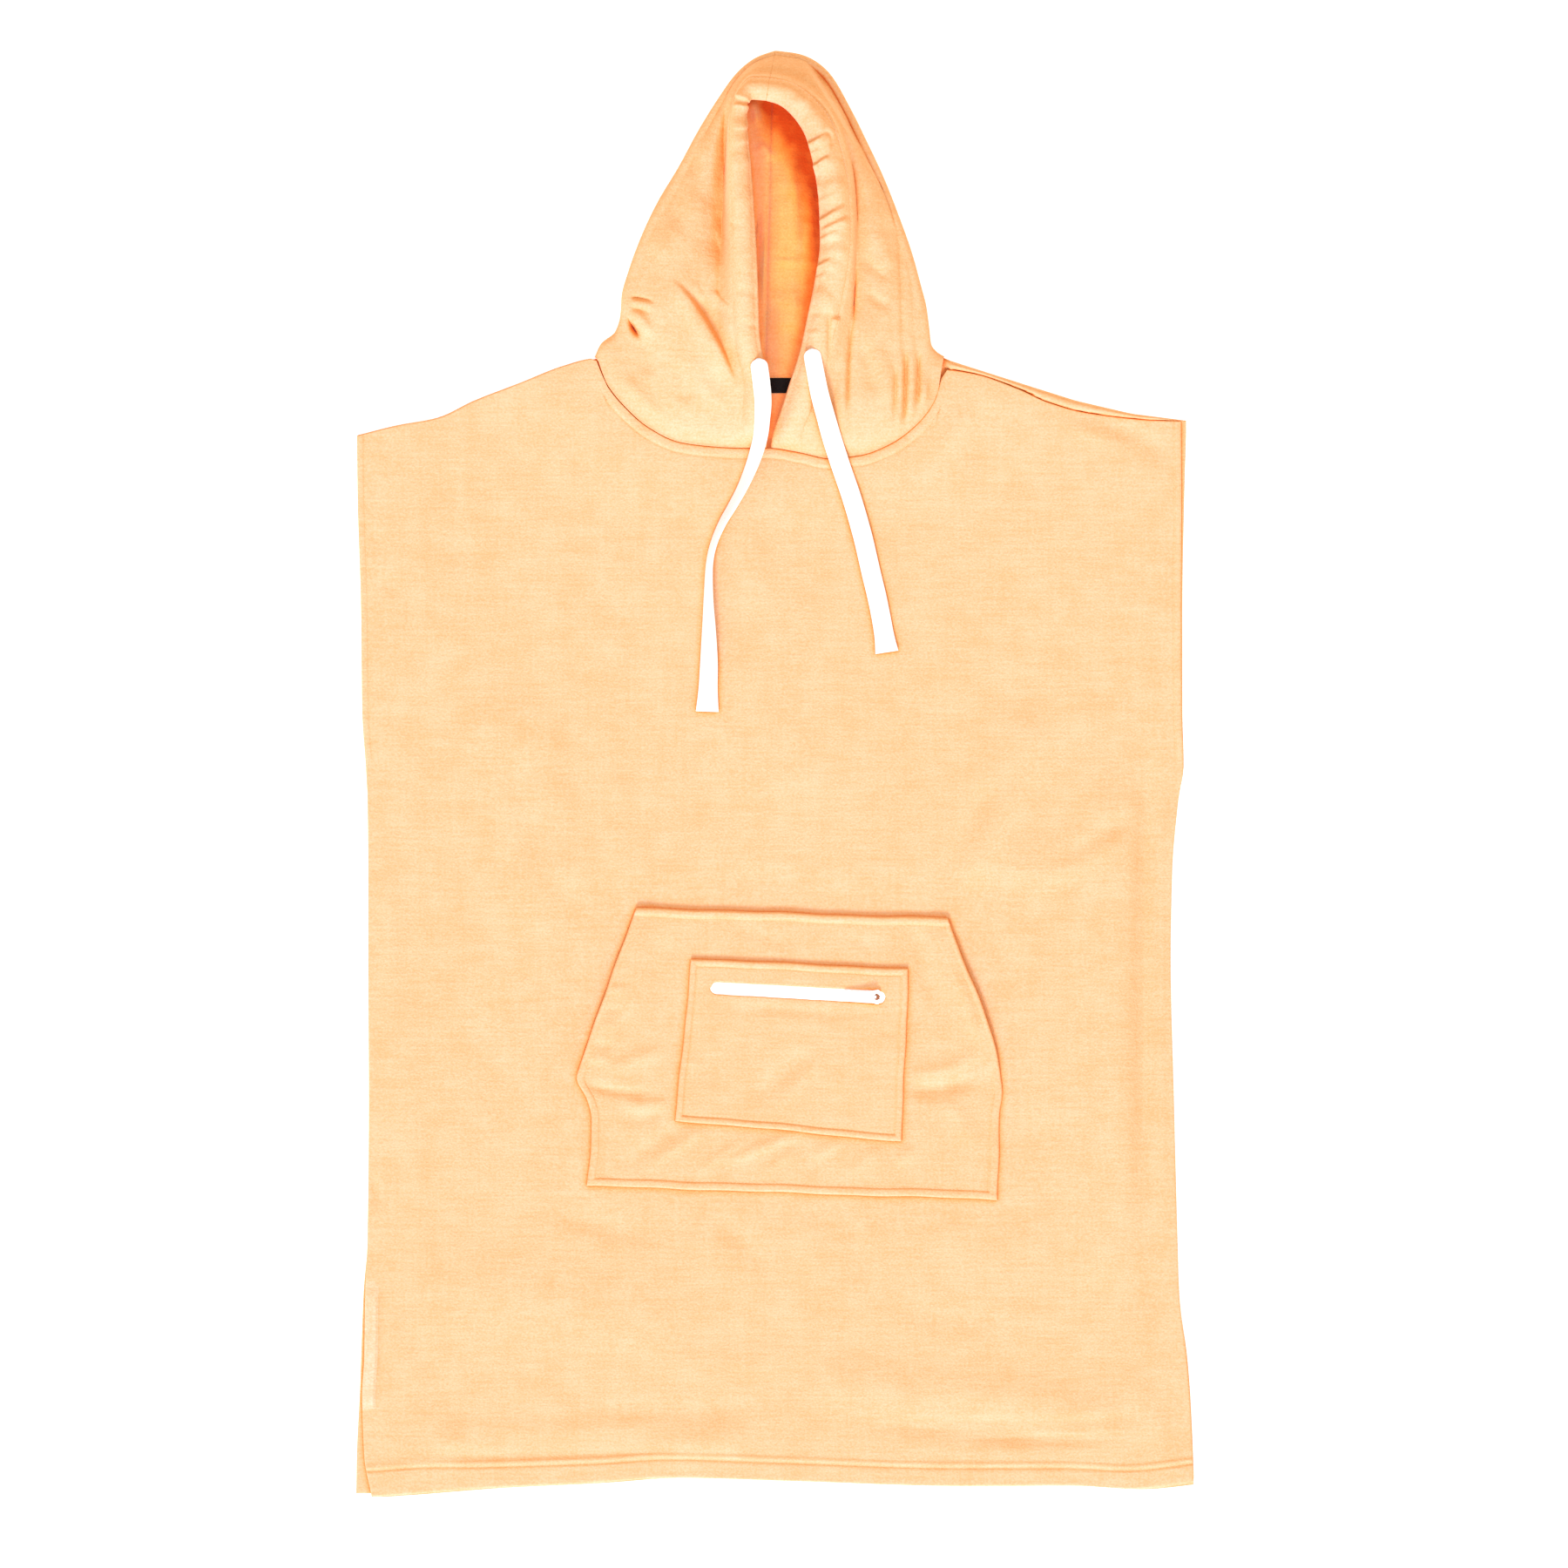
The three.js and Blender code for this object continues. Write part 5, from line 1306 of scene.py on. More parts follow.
def front_surface(x, y):
    """Height of the front's face. It has no creases under the pocket."""
    left, right, top, bottom = front_distances(x, y)
    fade = SEAM_FADE["neck"]
    neck = smooth((x - NECK_LEFT) / fade) * smooth((NECK_RIGHT - x) / fade)
    relief = neck * (swell(top, NECK_SEAM) + furrow(top, NECK_SEAM))
    arm = smooth((y - ARMHOLE_END) / SEAM_FADE["armhole"])
    for side in (left, right):
        relief += arm * (swell(side, ARMHOLE_SEAM) + furrow(side, ARMHOLE_SEAM))
    relief += hem_relief(bottom, read(HEM, "x", "stitch", x)) + facing_relief(left, y)
    loose = smooth(from_flat_zone(x, y) / FLAT_ZONE["creases"])
    relief += (creases_at(FRONT_CREASES, x, y) + unevenness(x, y)) * loose
    drop = np.maximum(rim(np.minimum.reduce([left, right, bottom])), rim(top, TOP_RIM))
    return FRONT_BASE + front_lift(x, y) + CLOTH + relief - drop


def front_point(x, y):
    return x, y, front_surface(x, y)


def between_edges(hem, top, near_hem, near_top, count):
    """Rows of places from hem to top: those near each edge, and a count of even ones between."""
    middle = np.linspace(0, 1, count + 2)[1:-1, None]
    low, high = hem + near_hem[-1], top - near_top[-1]
    return np.concatenate([hem + near_hem[:, None], lerp(low, high, middle), top - near_top[::-1, None]])


def front_plan():
    """Places of the front's grid, closer together at its edges and at the neck and hem."""
    first, last = FRONT_TOP_EDGE["x"][0], FRONT_TOP_EDGE["x"][-1]
    u = stations(last - first, EDGE_NEAR, EDGE_NEAR, FRONT_STEP) / (last - first)
    x = lerp(first, last, u)
    hem, top = read(HEM, "x", "y", x), front_top_edge(x)
    near = FRONT_HEM_NEAR, FRONT_TOP_NEAR
    most = max(len(stations(t - h, *near, FRONT_STEP)) for h, t in zip(hem, top))
    y = between_edges(hem, top, *near, most - len(FRONT_HEM_NEAR) - len(FRONT_TOP_NEAR))
    left, right = read(BODY_SIDES, "y", "front_left", y), read(BODY_SIDES, "y", "front_right", y)
    return lerp(left, right, u[None, :]), y


def underside(base, top, edge, share):
    """The cloth's lower face, rounded at its edge and always below its upper face."""
    return np.minimum(base + share * rim(edge, 1.0), top - THINNEST)


def front_panel(material, facing):
    x, y = front_plan()
    top = front_surface(x, y)
    edges = front_distances(x, y)
    bottom = underside(FRONT_BASE + front_lift(x, y), top, np.minimum.reduce(edges), 0.8)
    inset, low = edges[0][:-1, :-1], y[:-1, :-1]
    on_facing = (inset < FACING["width"] - 1) & (low < FACING["top"]) & (low > FACING["bottom"])
    piece = layer("terry_front", x, y, top, bottom, material, lining=facing, lined_above=on_facing)
    finish_piece(piece, replaced=("body_front",))
    return piece


def offset_inward(edge, x, distance):
    """Points at a distance below an edge given as y at x."""
    y = edge(x)
    slope = (edge(x + 0.5) - edge(x - 0.5)) / 1.0
    length = np.sqrt(1 + slope**2)
    return x + distance * slope / length, y - distance / length


def front_stitches(material):
    seam_x = np.linspace(NECK_LEFT + 4, NECK_RIGHT - 3, 220)
    hem_x = np.linspace(-368, 381, 300)
    arm_y = np.linspace(ARMHOLE_END + 4, 300, 120)
    facing_y = np.linspace(FACING["bottom"] + 4, FACING["top"] - 2, 60)
    lines = [
        offset_inward(front_top_edge, seam_x, NECK_SEAM["inset"]),
        (hem_x, read(HEM, "x", "y", hem_x) + read(HEM, "x", "stitch", hem_x)),
        (read(BODY_SIDES, "y", "front_left", arm_y) + ARMHOLE_SEAM["inset"], arm_y),
        (read(BODY_SIDES, "y", "front_right", arm_y) - ARMHOLE_SEAM["inset"], arm_y),
        (read(BODY_SIDES, "y", "front_left", facing_y) + FACING["width"], facing_y),
    ]
    return stitches("stitches_front", [on_cloth(front_point, *line) for line in lines], material)


# Back


def back_neck_y(x):
    b = BACK_NECK
    return b["middle_y"] + b["rise"] * ((x - b["middle_x"]) / b["half_width"]) ** 2


def hood_base_y(x):
    """Lower edge of the hood's back layer, straight from its centre to each side."""
    places = HOOD_LEFT["side_x"][0], CENTRE_BACK["neck_x"], HOOD_RIGHT["side_x"][0]
    return np.interp(x, places, (HOOD_LEFT["side_y"][0], CENTRE_BACK["neck_y"], HOOD_RIGHT["side_y"][0]))


def back_top_edge(x):
    left = np.interp(x, BACK_LEFT_SHOULDER["x"], BACK_LEFT_SHOULDER["y"])
    right = np.interp(x, BACK_RIGHT_SHOULDER["x"], BACK_RIGHT_SHOULDER["y"])
    overlap = NECK_OVERLAP * smooth((150 - np.abs(x)) / 20)
    neck = np.maximum(back_neck_y(x), hood_base_y(x)) + overlap
    return np.where(x < NECK_LEFT, left, np.where(x > NECK_RIGHT, right, neck))


def back_hem_edge(x):
    return read(HEM, "x", "y", x) + BACK_HEM_SET_IN


def shoulder_roll(x, y):
    """Height of the right shoulder where it rolls over the seam beyond the front's edge."""
    s = SHOULDER_ROLL
    width = np.maximum(0.1, back_top_edge(x) - front_top_edge(np.clip(x, NECK_RIGHT, s["end"])))
    across = (back_top_edge(x) - y) / width
    rolled = smooth((x - NECK_RIGHT + 1) / 6) * smooth((width - 1) / 3)
    full = s["height"] + NECK_LIFT * (1 - smooth((x - NECK_RIGHT) / NECK_LIFT_REACH))
    arch = np.sqrt(np.clip(1 - (across - s["middle"]) ** 2 / s["middle"] ** 2, 0, 1))
    return full * rolled * arch * (across < s["cut"])


def back_panel(material, lining):
    """The back, flat on the surface below, with its right shoulder rolled up beyond the front's edge."""
    first, last = BACK_LEFT_SHOULDER["x"][0], BACK_RIGHT_SHOULDER["x"][-1]
    u = stations(last - first, EDGE_NEAR, EDGE_NEAR, BACK_STEP) / (last - first)
    at_edge = lerp(first, last, u)
    hem, top = back_hem_edge(at_edge), back_top_edge(at_edge)
    y = between_edges(hem, top, BACK_HEM_NEAR, BACK_TOP_NEAR, BACK_ROWS - 2)
    left, right = read(BODY_SIDES, "y", "back_left", y), read(BODY_SIDES, "y", "back_right", y)
    x = lerp(left, right, u[None, :])
    edge = np.minimum.reduce([x - left, right - x, top - y, y - hem])
    upper = CLOTH - 1.1 * rim(edge, 1.2) + shoulder_roll(x, y)
    side_seams = furrow(np.minimum(x - left, right - x), BACK_ARM_SEAM) * (y > ARMHOLE_END)
    relief = furrow(y - hem, BACK_HEM_SEAM) + side_seams
    lower = np.maximum(0, -relief + 0.15 + unevenness(x, y, LOOSE["back"]) * 0.6) + 1.0 * rim(edge, 1.2)
    lower = np.minimum(lower, upper - THINNEST)
    # Cells seen through the neck take the inside's painted shade and painted glow
    in_neck = np.abs(x[1:, 1:] - NECK_CENTRE["x"]) < INSIDE_VIEW["half_width"]
    in_neck &= y[1:, 1:] > INSIDE_VIEW["bottom"]
    piece = layer("terry_back", x, y, upper, lower, material, lining=lining, lined_above=in_neck)
    add_cover(piece)
    finish_piece(piece, replaced=("body_back",))
    return piece


# Hood


def hood_values(rows, v):
    return {name: read(rows, "v", name, v)[:, None] for name in rows if name != "v"}


def at_stations(places, row, names, share):
    """Height at a share of the way over a panel, through the named columns of each row."""
    return smooth_line(np.array(places, float), np.concatenate([row[name] for name in names], axis=1), share)


def centre_back_x(y):
    c = CENTRE_BACK
    share = np.clip((y - c["neck_y"]) / (c["crown_y"] - c["neck_y"]), 0, 1)
    return lerp(c["neck_x"], c["crown_x"], share)


def hood_rows_at():
    near = (0, 0.0008, 0.002, 0.004, 0.0065, 0.0095, 0.013, 0.017)
    far = (1, 0.9985, 0.996, 0.993, 0.989)
    return np.concatenate([near, np.linspace(0.022, 0.984, 270), far[::-1]])


def hood_middle(rows, v):
    """Middle surface of half the hood, and its thickness, in zones from the centre back to the opening."""
    row = hood_values(rows, v)
    neck = {name: rows[name][0] for name in rows}
    half = CLOTH / 2
    growing = v[:, None]
    side = np.stack([row["side_x"], row["side_y"]], -1)
    front = np.stack([row["front_x"], row["front_y"]], -1)
    back = np.stack([centre_back_x(row["back_y"]), row["back_y"]], -1)
    span = np.linalg.norm(front - side, axis=-1)
    radius = (row["fold"] - half) / 2

    def clear_of_back(p):
        lowest = back_neck_y(p[..., 0]) + BACK_NECK["clear"]
        push = np.maximum(0, lowest - p[..., 1]) * (1 - smooth(growing / 0.03))
        return np.stack([p[..., 0], p[..., 1] + push], -1)

    def on_top(s):
        x = lerp(neck["side_x"], neck["front_x"], s)
        sag = front_top_edge(x) + SEAM_EASE - lerp(neck["side_y"], neck["front_y"], s)
        p = lerp(side, front, s[..., None])
        return np.stack([p[..., 0], p[..., 1] + row["sag"] * sag * smooth(s / HOOD_GROWTH["sag"])], -1)

    fold_share = radius / span
    casing_start = 1 - row["casing"] / span
    fold_top = on_top(fold_share)
    back_span = np.linalg.norm(back - side, axis=-1)
    fold_low = clear_of_back(lerp(side, back, (radius / back_span)[..., None]))

    share = np.linspace(0, 1, HOOD_COUNT["back"] + 1)[None, :-1]
    back_p = clear_of_back(lerp(back, fold_low, share[..., None]))
    back_z = np.full(back_p.shape[:2], half)

    turn = math.pi * (np.linspace(0, 1, HOOD_COUNT["fold"] + 1)[None, :] - 0.5)
    end = np.where((turn < 0)[..., None], fold_low, fold_top)
    fold_p = lerp(side, end, (1 - np.cos(turn))[..., None])
    fold_z = half + radius * (1 + np.sin(turn))

    share = np.linspace(0, 1, HOOD_COUNT["panel"] + 1)[1:]
    panel_p = on_top(lerp(fold_share, casing_start, share[None, :]))
    panel_z = at_stations(PANEL_STATIONS, row, ("fold", "middle", "trough", "outer"), share)

    casing = 1 - (1 - np.linspace(0, 1, HOOD_COUNT["casing"] + 1)[1:]) ** 1.35
    casing_p = on_top(lerp(casing_start, 1, casing[None, :]))
    casing_z = at_stations(CASING_STATIONS, row, ("outer", "crest", "edge"), casing)

    top_p = np.concatenate([panel_p, casing_p], axis=1)
    top_z = np.concatenate([panel_z, casing_z], axis=1)
    seam_z = FRONT_BASE + front_lift(top_p[..., 0], top_p[..., 1]) + half
    top_z = lerp(seam_z, top_z, smooth(growing / HOOD_GROWTH["seam"]))

    plan = np.concatenate([back_p, fold_p, top_p], axis=1)
    z = np.concatenate([back_z, fold_z, top_z], axis=1)
    arch = np.sin(math.pi * np.minimum(PUFF_END, casing))
    puff = CASING_PUFF * smooth(growing / HOOD_GROWTH["puff"]) * arch
    thick = np.full(z.shape, CLOTH)
    thick[:, -len(casing):] += puff
    from_edge = (1 - casing[None, :]) * row["casing"]
    return np.concatenate([plan, z[..., None]], -1), thick, share, casing, from_edge


def grid_normals(points, sign):
    """Unit normals of a grid of points."""
    across = np.empty_like(points)
    across[:, 1:-1] = points[:, 2:] - points[:, :-2]
    across[:, 0], across[:, -1] = points[:, 1] - points[:, 0], points[:, -1] - points[:, -2]
    up = np.empty_like(points)
    up[1:-1] = points[2:] - points[:-2]
    up[0], up[-1] = points[1] - points[0], points[-1] - points[-2]
    normals = np.cross(across, up) * sign
    return normals / np.maximum(np.linalg.norm(normals, axis=-1, keepdims=True), 1e-9)


def cover_at(x, y):
    """How much painted shade a place of the hood's inner side gets, as if the hood covered it: most below
    the crown and the right casing.
    """
    edge = np.interp(y, HOOD_RIGHT["front_y"], HOOD_RIGHT["front_x"])
    reach = np.interp(y, COVER_REACH["y"], COVER_REACH["reach"])
    beside = smooth((x - edge + reach) / reach * 1.15)
    strength = np.interp(y, COVER_STRENGTH["y"], COVER_STRENGTH["share"])
    left = np.interp(y, HOOD_LEFT["front_y"], HOOD_LEFT["front_x"])
    f = FLAP
    flap = np.exp(-(((x - f["x"]) / f["half_width"]) ** 2) - ((y - f["y"]) / f["half_height"]) ** 2)
    return np.maximum(beside * strength, 0.5 * smooth((left + 5 - x) / 5)) * (1 - f["share"] * flap)


# Store on a piece how much painted shade its inner side gets, with a little random unevenness
def add_cover(piece):
    mesh = piece.data
    points = np.array([v.co for v in mesh.vertices]) / MM
    layer = mesh.attributes.new("painted_shade_cover", "FLOAT", "POINT")
    painted_shade_cover = cover_at(points[:, 0], points[:, 1]) + unevenness(points[:, 0], points[:, 1], 0.07, 8, 30)
    layer.data.foreach_set("value", np.clip(painted_shade_cover, 0, 1))


def crease_top_layer(middle, folds, panel, casing, grown):
    """Move the hood's upper layer by its folds and by the unevenness of loose cloth."""
    top = middle[:, FIRST_TOP:]
    x, y = top[..., 0], top[..., 1]
    free = np.concatenate([smooth(panel / HOOD_GROWTH["panel"]), np.ones(len(casing))])[None, :]
    top[..., 2] += creases_at(folds, x, y) * grown * free
    loose = unevenness(x, y, LOOSE["hood"]) + unevenness(x, y, LOOSE["hood_fine"], 5, 14)
    top[..., 2] += loose * grown * free
    top[..., 2] = np.maximum(top[..., 2], lerp(0, HOOD_LOWEST, free))


def hood_normals(middle, v, sign):
    """Directions of the cloth's thickness: down at the centre back, up at the neck seam, and at the crown
    in the seam's own plane."""
    normals = grid_normals(middle, sign)
    normals[:, 0] = (0, 0, -1)
    seam = (1 - smooth(v / 0.012))[:, None, None]
    normals[:, FIRST_TOP:] = lerp(normals[:, FIRST_TOP:], np.array((0, 0, 1.0)), seam)
    normals[..., 0] *= 1 - smooth((v - 0.97) / 0.03)[:, None]
    return normals / np.linalg.norm(normals, axis=-1, keepdims=True)


def hood_relief(middle, v, gathers, stitch_from, casing, grown):
    """Relief of the hood's outer side: the casing's gathers and swell, and the furrow of its stitches."""
    x, y = middle[:, FIRST_CASING:, 0], middle[:, FIRST_CASING:, 1]
    relief = np.zeros(middle.shape[:2])
    relief[:, FIRST_CASING:] = GATHER_HEIGHT * creases_at(gathers, x, y)
    relief[:, FIRST_CASING:] += CASING_SWELL * np.sin(math.pi * casing)[None, :] * grown
    columns = np.arange(middle.shape[1])[None, :]
    return relief + furrow(columns, CASING_SEAM) * smooth((v[:, None] - stitch_from) / 0.08)


def hood_inside(inner, from_centre, v):
    """Relief of the back layer's inner side, which shows through the opening."""
    x, y = inner[..., 0], inner[..., 1]
    shown = np.arange(inner.shape[1])[None, :] < HOOD_COUNT["back"]
    loose = unevenness(x, y, LOOSE["inside"]) - 0.6 * rim(from_centre, 1.4)
    relief = creases_at(INSIDE_FOLDS, x, y) + loose
    return relief * shown * smooth((v[:, None] - 0.02) / 0.1)


def hood_half(name, node, rows, folds, gathers, stitch_from, sign, material, lining):
    """One half of the hood. Its grids run from the centre back, round the side fold, to the opening."""
    v = hood_rows_at()
    middle, thick, panel, casing, from_edge = hood_middle(rows, v)
    grown = smooth(v[:, None] / HOOD_GROWTH["folds"])
    crease_top_layer(middle, folds, panel, casing, grown)
    normals = hood_normals(middle, v, sign)
    relief = hood_relief(middle, v, gathers, stitch_from, casing, grown)
    on_top = np.arange(thick.shape[1])[None, :] >= FIRST_TOP
    s = HOOD_SEAMS
    seams = s["neck"] * rim((v * NECK_RUN)[:, None], s["neck_width"]) * on_top
    seams = seams + s["crown"] * rim(((1 - v) * CROWN_RUN)[:, None], s["crown_width"])
    closing = np.ones(thick.shape)
    closing[:, FIRST_CASING:] = np.sqrt(1 - np.clip(1 - from_edge / OPENING_ROUNDING, 0, 0.96) ** 2)
    outer = middle + normals * (thick / 2 * closing + relief * closing - seams * s["share"])[..., None]
    outer[..., 2] = np.maximum(outer[..., 2], 0)
    inner = middle - normals * (thick / 2 * closing)[..., None]
    from_centre = np.linalg.norm(middle[..., :2] - middle[:, :1, :2], axis=-1)
    inner[..., 2] += hood_inside(inner, from_centre, v)
    # Each half stands a little off the seam between them
    outer[..., 0] += HOOD_APART * sign
    inner[..., 0] += HOOD_APART * sign
    piece = shell(name, outer, inner, material, lining=lining)
    add_cover(piece)
    finish_piece(piece, replaced=(node,))
    return outer[v > stitch_from, CASING_STITCH]


# Kangaroo pocket


def pocket_plan(u, v):
    left, right = read(POCKET_SIDES, "v", "left", v), read(POCKET_SIDES, "v", "right", v)
    bottom = lerp(POCKET_BOTTOM["left"], POCKET_BOTTOM["right"], u)
    top = lerp(POCKET_TOP["left"], POCKET_TOP["right"], u)
    return lerp(left, right, u), lerp(bottom, top, v), right - left


def pocket_surface(u, v):
    """Place and height of the pocket's face, and how far its underside is lifted."""
    x, y, width = pocket_plan(u, v)
    m = POCKET_MOUTH
    along = np.clip((v - m["low"]) / (1 - m["low"]), 0, 1)
    lift = m["lift"] * np.sin(math.pi * along) * (1 - smooth(np.minimum(u, 1 - u) / m["reach"]))
    in_mouth = smooth((v - m["low"]) / m["fade"])
    slope = lerp(1, m["slope"], in_mouth)
    sides = [u * width * slope, (1 - u) * width * slope]
    top, bottom = (1 - v) * POCKET_HEIGHT, v * POCKET_HEIGHT
    relief = np.maximum(swell(top, POCKET_HEM), swell(bottom, POCKET_FOOT))
    relief += furrow(top, POCKET_HEM) + furrow(bottom, POCKET_FOOT)
    for side in sides:
        relief = np.maximum(relief, lerp(swell(side, POCKET_SIDE), swell(side, MOUTH_EDGE), in_mouth))
        relief += lerp(furrow(side, POCKET_SIDE), 0, in_mouth)
        relief += lerp(0, band(side, OUTSIDE, m["hem"], 0.5, 2), in_mouth)
    relief += POCKET_PULL * creases_at(POCKET_CREASES, x, y) + unevenness(x, y, LOOSE["pocket"])
    edge = np.minimum.reduce([*sides, top, bottom])
    x, y = sway(x, y, POCKET_SWAY)
    base = POCKET_BASE + lift
    return x, y, base + CLOTH + relief - rim(edge), base, edge


def kangaroo_pocket(material):
    u = stations(POCKET_WIDTH, EDGE_NEAR, EDGE_NEAR, POCKET_STEP) / POCKET_WIDTH
    v = stations(POCKET_HEIGHT, EDGE_NEAR, EDGE_NEAR, POCKET_STEP) / POCKET_HEIGHT
    x, y, top, base, edge = pocket_surface(*np.meshgrid(u, v))
    piece = layer("terry_pocket", x, y, top, underside(base, top, edge, 0.7), material)
    finish_piece(piece, replaced=("kangaroo_pocket",))
    return piece


def pocket_stitches(material):
    foot, hem = POCKET_FOOT["inset"] / POCKET_HEIGHT, 1 - POCKET_HEM["inset"] / POCKET_HEIGHT
    side = POCKET_SIDE["inset"] / POCKET_WIDTH
    across, up = np.linspace(0.022, 0.978, 160), np.linspace(foot, 0.415, 70)
    lines = [(across, hem), (across, foot), (side, up), (1 - side, up)]
    return stitches("stitches_pocket", [on_cloth(pocket_surface, *line) for line in lines], material)


# Patch pocket and its zip


def patch_plan(u, v):
    x, y = PATCH_CORNERS["x"], PATCH_CORNERS["y"]
    return (
        lerp(lerp(x[0], x[1], u), lerp(x[3], x[2], u), v),
        lerp(lerp(y[0], y[1], u), lerp(y[3], y[2], u), v),
    )


def patch_place(x, y):
    """Shares u and v of the patch at a place, by a few steps towards it."""
    u, v = 0.5, 0.8
    for _ in range(12):
        px, py = patch_plan(u, v)
        u += (x - px) / PATCH_WIDTH
        v += (y - py - (px - x) * 0.06) / PATCH_HEIGHT
    return u, v


def on_zip(along, across):
    """Place of a point given along and across the zip from its middle."""
    cos, sin = math.cos(ZIP["tilt"]), math.sin(ZIP["tilt"])
    return ZIP["x"] + along * cos - across * sin, ZIP["y"] + along * sin + across * cos


def slot_shares():
    half_length, half_width = ZIP["length"] / 2, ZIP["width"] / 2
    left, right = patch_place(*on_zip(-half_length, 0))[0], patch_place(*on_zip(half_length, 0))[0]
    low, high = patch_place(*on_zip(0, -half_width))[1], patch_place(*on_zip(0, half_width))[1]
    return left, right, low, high


def patch_surface(u, v):
    x, y = patch_plan(u, v)
    edge = np.minimum(np.minimum(u, 1 - u) * PATCH_WIDTH, np.minimum(v, 1 - v) * PATCH_HEIGHT)
    relief = swell(edge, PATCH_SEAM) + furrow(edge, PATCH_SEAM)
    relief += creases_at(PATCH_CREASES, x, y) + unevenness(x, y, LOOSE["patch"])
    left, right, low, high = slot_shares()
    past_x = np.maximum(np.maximum(left - u, u - right), 0) * PATCH_WIDTH
    past_y = np.maximum(np.maximum(low - v, v - high), 0) * PATCH_HEIGHT
    from_slot = np.hypot(past_x, past_y)
    relief -= 0.7 * rim(from_slot, 1.6)
    from_end = np.maximum(np.minimum(u - left, right - u), 0) * PATCH_WIDTH
    closing = 0.86 * (1 - np.sqrt(1 - np.clip(1 - from_end / SLOT_END, 0, 1) ** 2))
    y -= np.sign(v - (low + high) / 2) * ZIP["width"] / 2 * closing * np.exp(-((from_slot / 5) ** 2))
    x, y = sway(x, y, PATCH_SWAY * smooth(from_slot / 12))
    return x, y, PATCH_BASE + CLOTH + relief - rim(edge), edge


def patch_pocket(material):
    left, right, low, high = slot_shares()
    w, h = PATCH_WIDTH, PATCH_HEIGHT
    u = np.concatenate(
        [
            stations(left * w, EDGE_NEAR, SLOT_NEAR[:5], SLOT_SIDE_STEP) / w,
            left + stations((right - left) * w, SLOT_NEAR, SLOT_NEAR, SLOT_STEP)[1:-1] / w,
            right + stations((1 - right) * w, SLOT_NEAR[:4], EDGE_NEAR[:-1], SLOT_SIDE_STEP) / w,
        ]
    )
    v = np.concatenate(
        [
            stations(low * h, EDGE_NEAR, SLOT_NEAR, SLOT_STEP) / h,
            np.array([(low + high) / 2]),
            high + stations((1 - high) * h, SLOT_NEAR, EDGE_NEAR, SLOT_STEP) / h,
        ]
    )
    inside_u = (u[:-1] > left - 1e-6) & (u[1:] < right + 1e-6)
    inside_v = (v[:-1] > low - 1e-6) & (v[1:] < high + 1e-6)
    present = ~(inside_v[:, None] & inside_u[None, :])
    x, y, top, edge = patch_surface(*np.meshgrid(u, v))
    bottom = underside(PATCH_BASE, top, edge, 0.7)
    piece = layer("terry_patch", x, y, top, bottom, material, present=present)
    return finish_piece(piece, replaced=("patch_pocket",))


def patch_stitches(material):
    u, v = PATCH_SEAM["inset"] / PATCH_WIDTH, PATCH_SEAM["inset"] / PATCH_HEIGHT
    across, up = np.linspace(u, 1 - u, 90), np.linspace(v, 1 - v, 70)
    lines = [(across, v), (across, 1 - v), (u, up), (1 - u, up)]
    return stitches("stitches_patch", [on_cloth(patch_surface, *line) for line in lines], material)


def zip_tape(material):
    """The tape, slightly crowned, with the cut ends tucked under the slot's ends."""
    half_length, half_width = ZIP["length"] / 2 + TAPE_TUCK, ZIP["width"] / 2 + TAPE_TUCK
    lengthwise = np.linspace(-half_length, half_length, 140)
    along, across = np.meshgrid(lengthwise, np.linspace(-half_width, half_width, 23))
    x, y = on_zip(along, across)
    ripple = 0.12 * np.sin(along * 0.21) + 0.07 * np.sin(along * 0.5 + 1)
    dip = 0.25 * np.exp(-((np.abs(across) - CHAIN["width"] / 2 - 0.5) ** 2) / 0.5)
    top = PATCH_BASE + TAPE + 0.95 + ripple - dip - 0.25 * (np.abs(across) / half_width) ** 4
    piece = layer("zip_tape_cloth", x, y, top, np.full(x.shape, PATCH_BASE), material)
    return finish_piece(piece, replaced=("zip_tape",))


def zip_chain(material):
    """The closed coil: rounded elements that reach over the middle from each side by turns."""
    half_length, half = ZIP["length"] / 2 - ZIP["end_gap"], CHAIN["width"] / 2
    stops = ((half, 0.55), (half - 0.5, 1), (0.4, 1), (-0.7, 0.9), (-1.1, 0.35))
    cos, sin = math.cos(ZIP["tilt"]), math.sin(ZIP["tilt"])
    angles = np.linspace(0, 2 * math.pi, COIL["sides"], endpoint=False)
    points, faces = [], []
    for number in range(2 * int(2 * half_length / CHAIN["pitch"])):
        side = 1 if number % 2 else -1
        along = -half_length + (number + 0.5) * CHAIN["pitch"] / 2
        faces += rod_faces(len(points), len(stops), COIL["sides"])
        for across, full in stops:
            x, y = on_zip(along, side * across)
            crown = COIL["crown"] * (1 - (across / half) ** 2)
            middle = PATCH_BASE + CHAIN["top"] - COIL["under_top"] + crown
            for angle in angles:
                reach = COIL["half_width"] * full * math.cos(angle)
                rise = COIL["half_height"] * full * math.sin(angle)
                points.append((x + reach * cos, y + reach * sin, middle + rise))
    piece = mesh_object("zip_chain", np.array(points), faces, material)
    return finish_piece(piece)


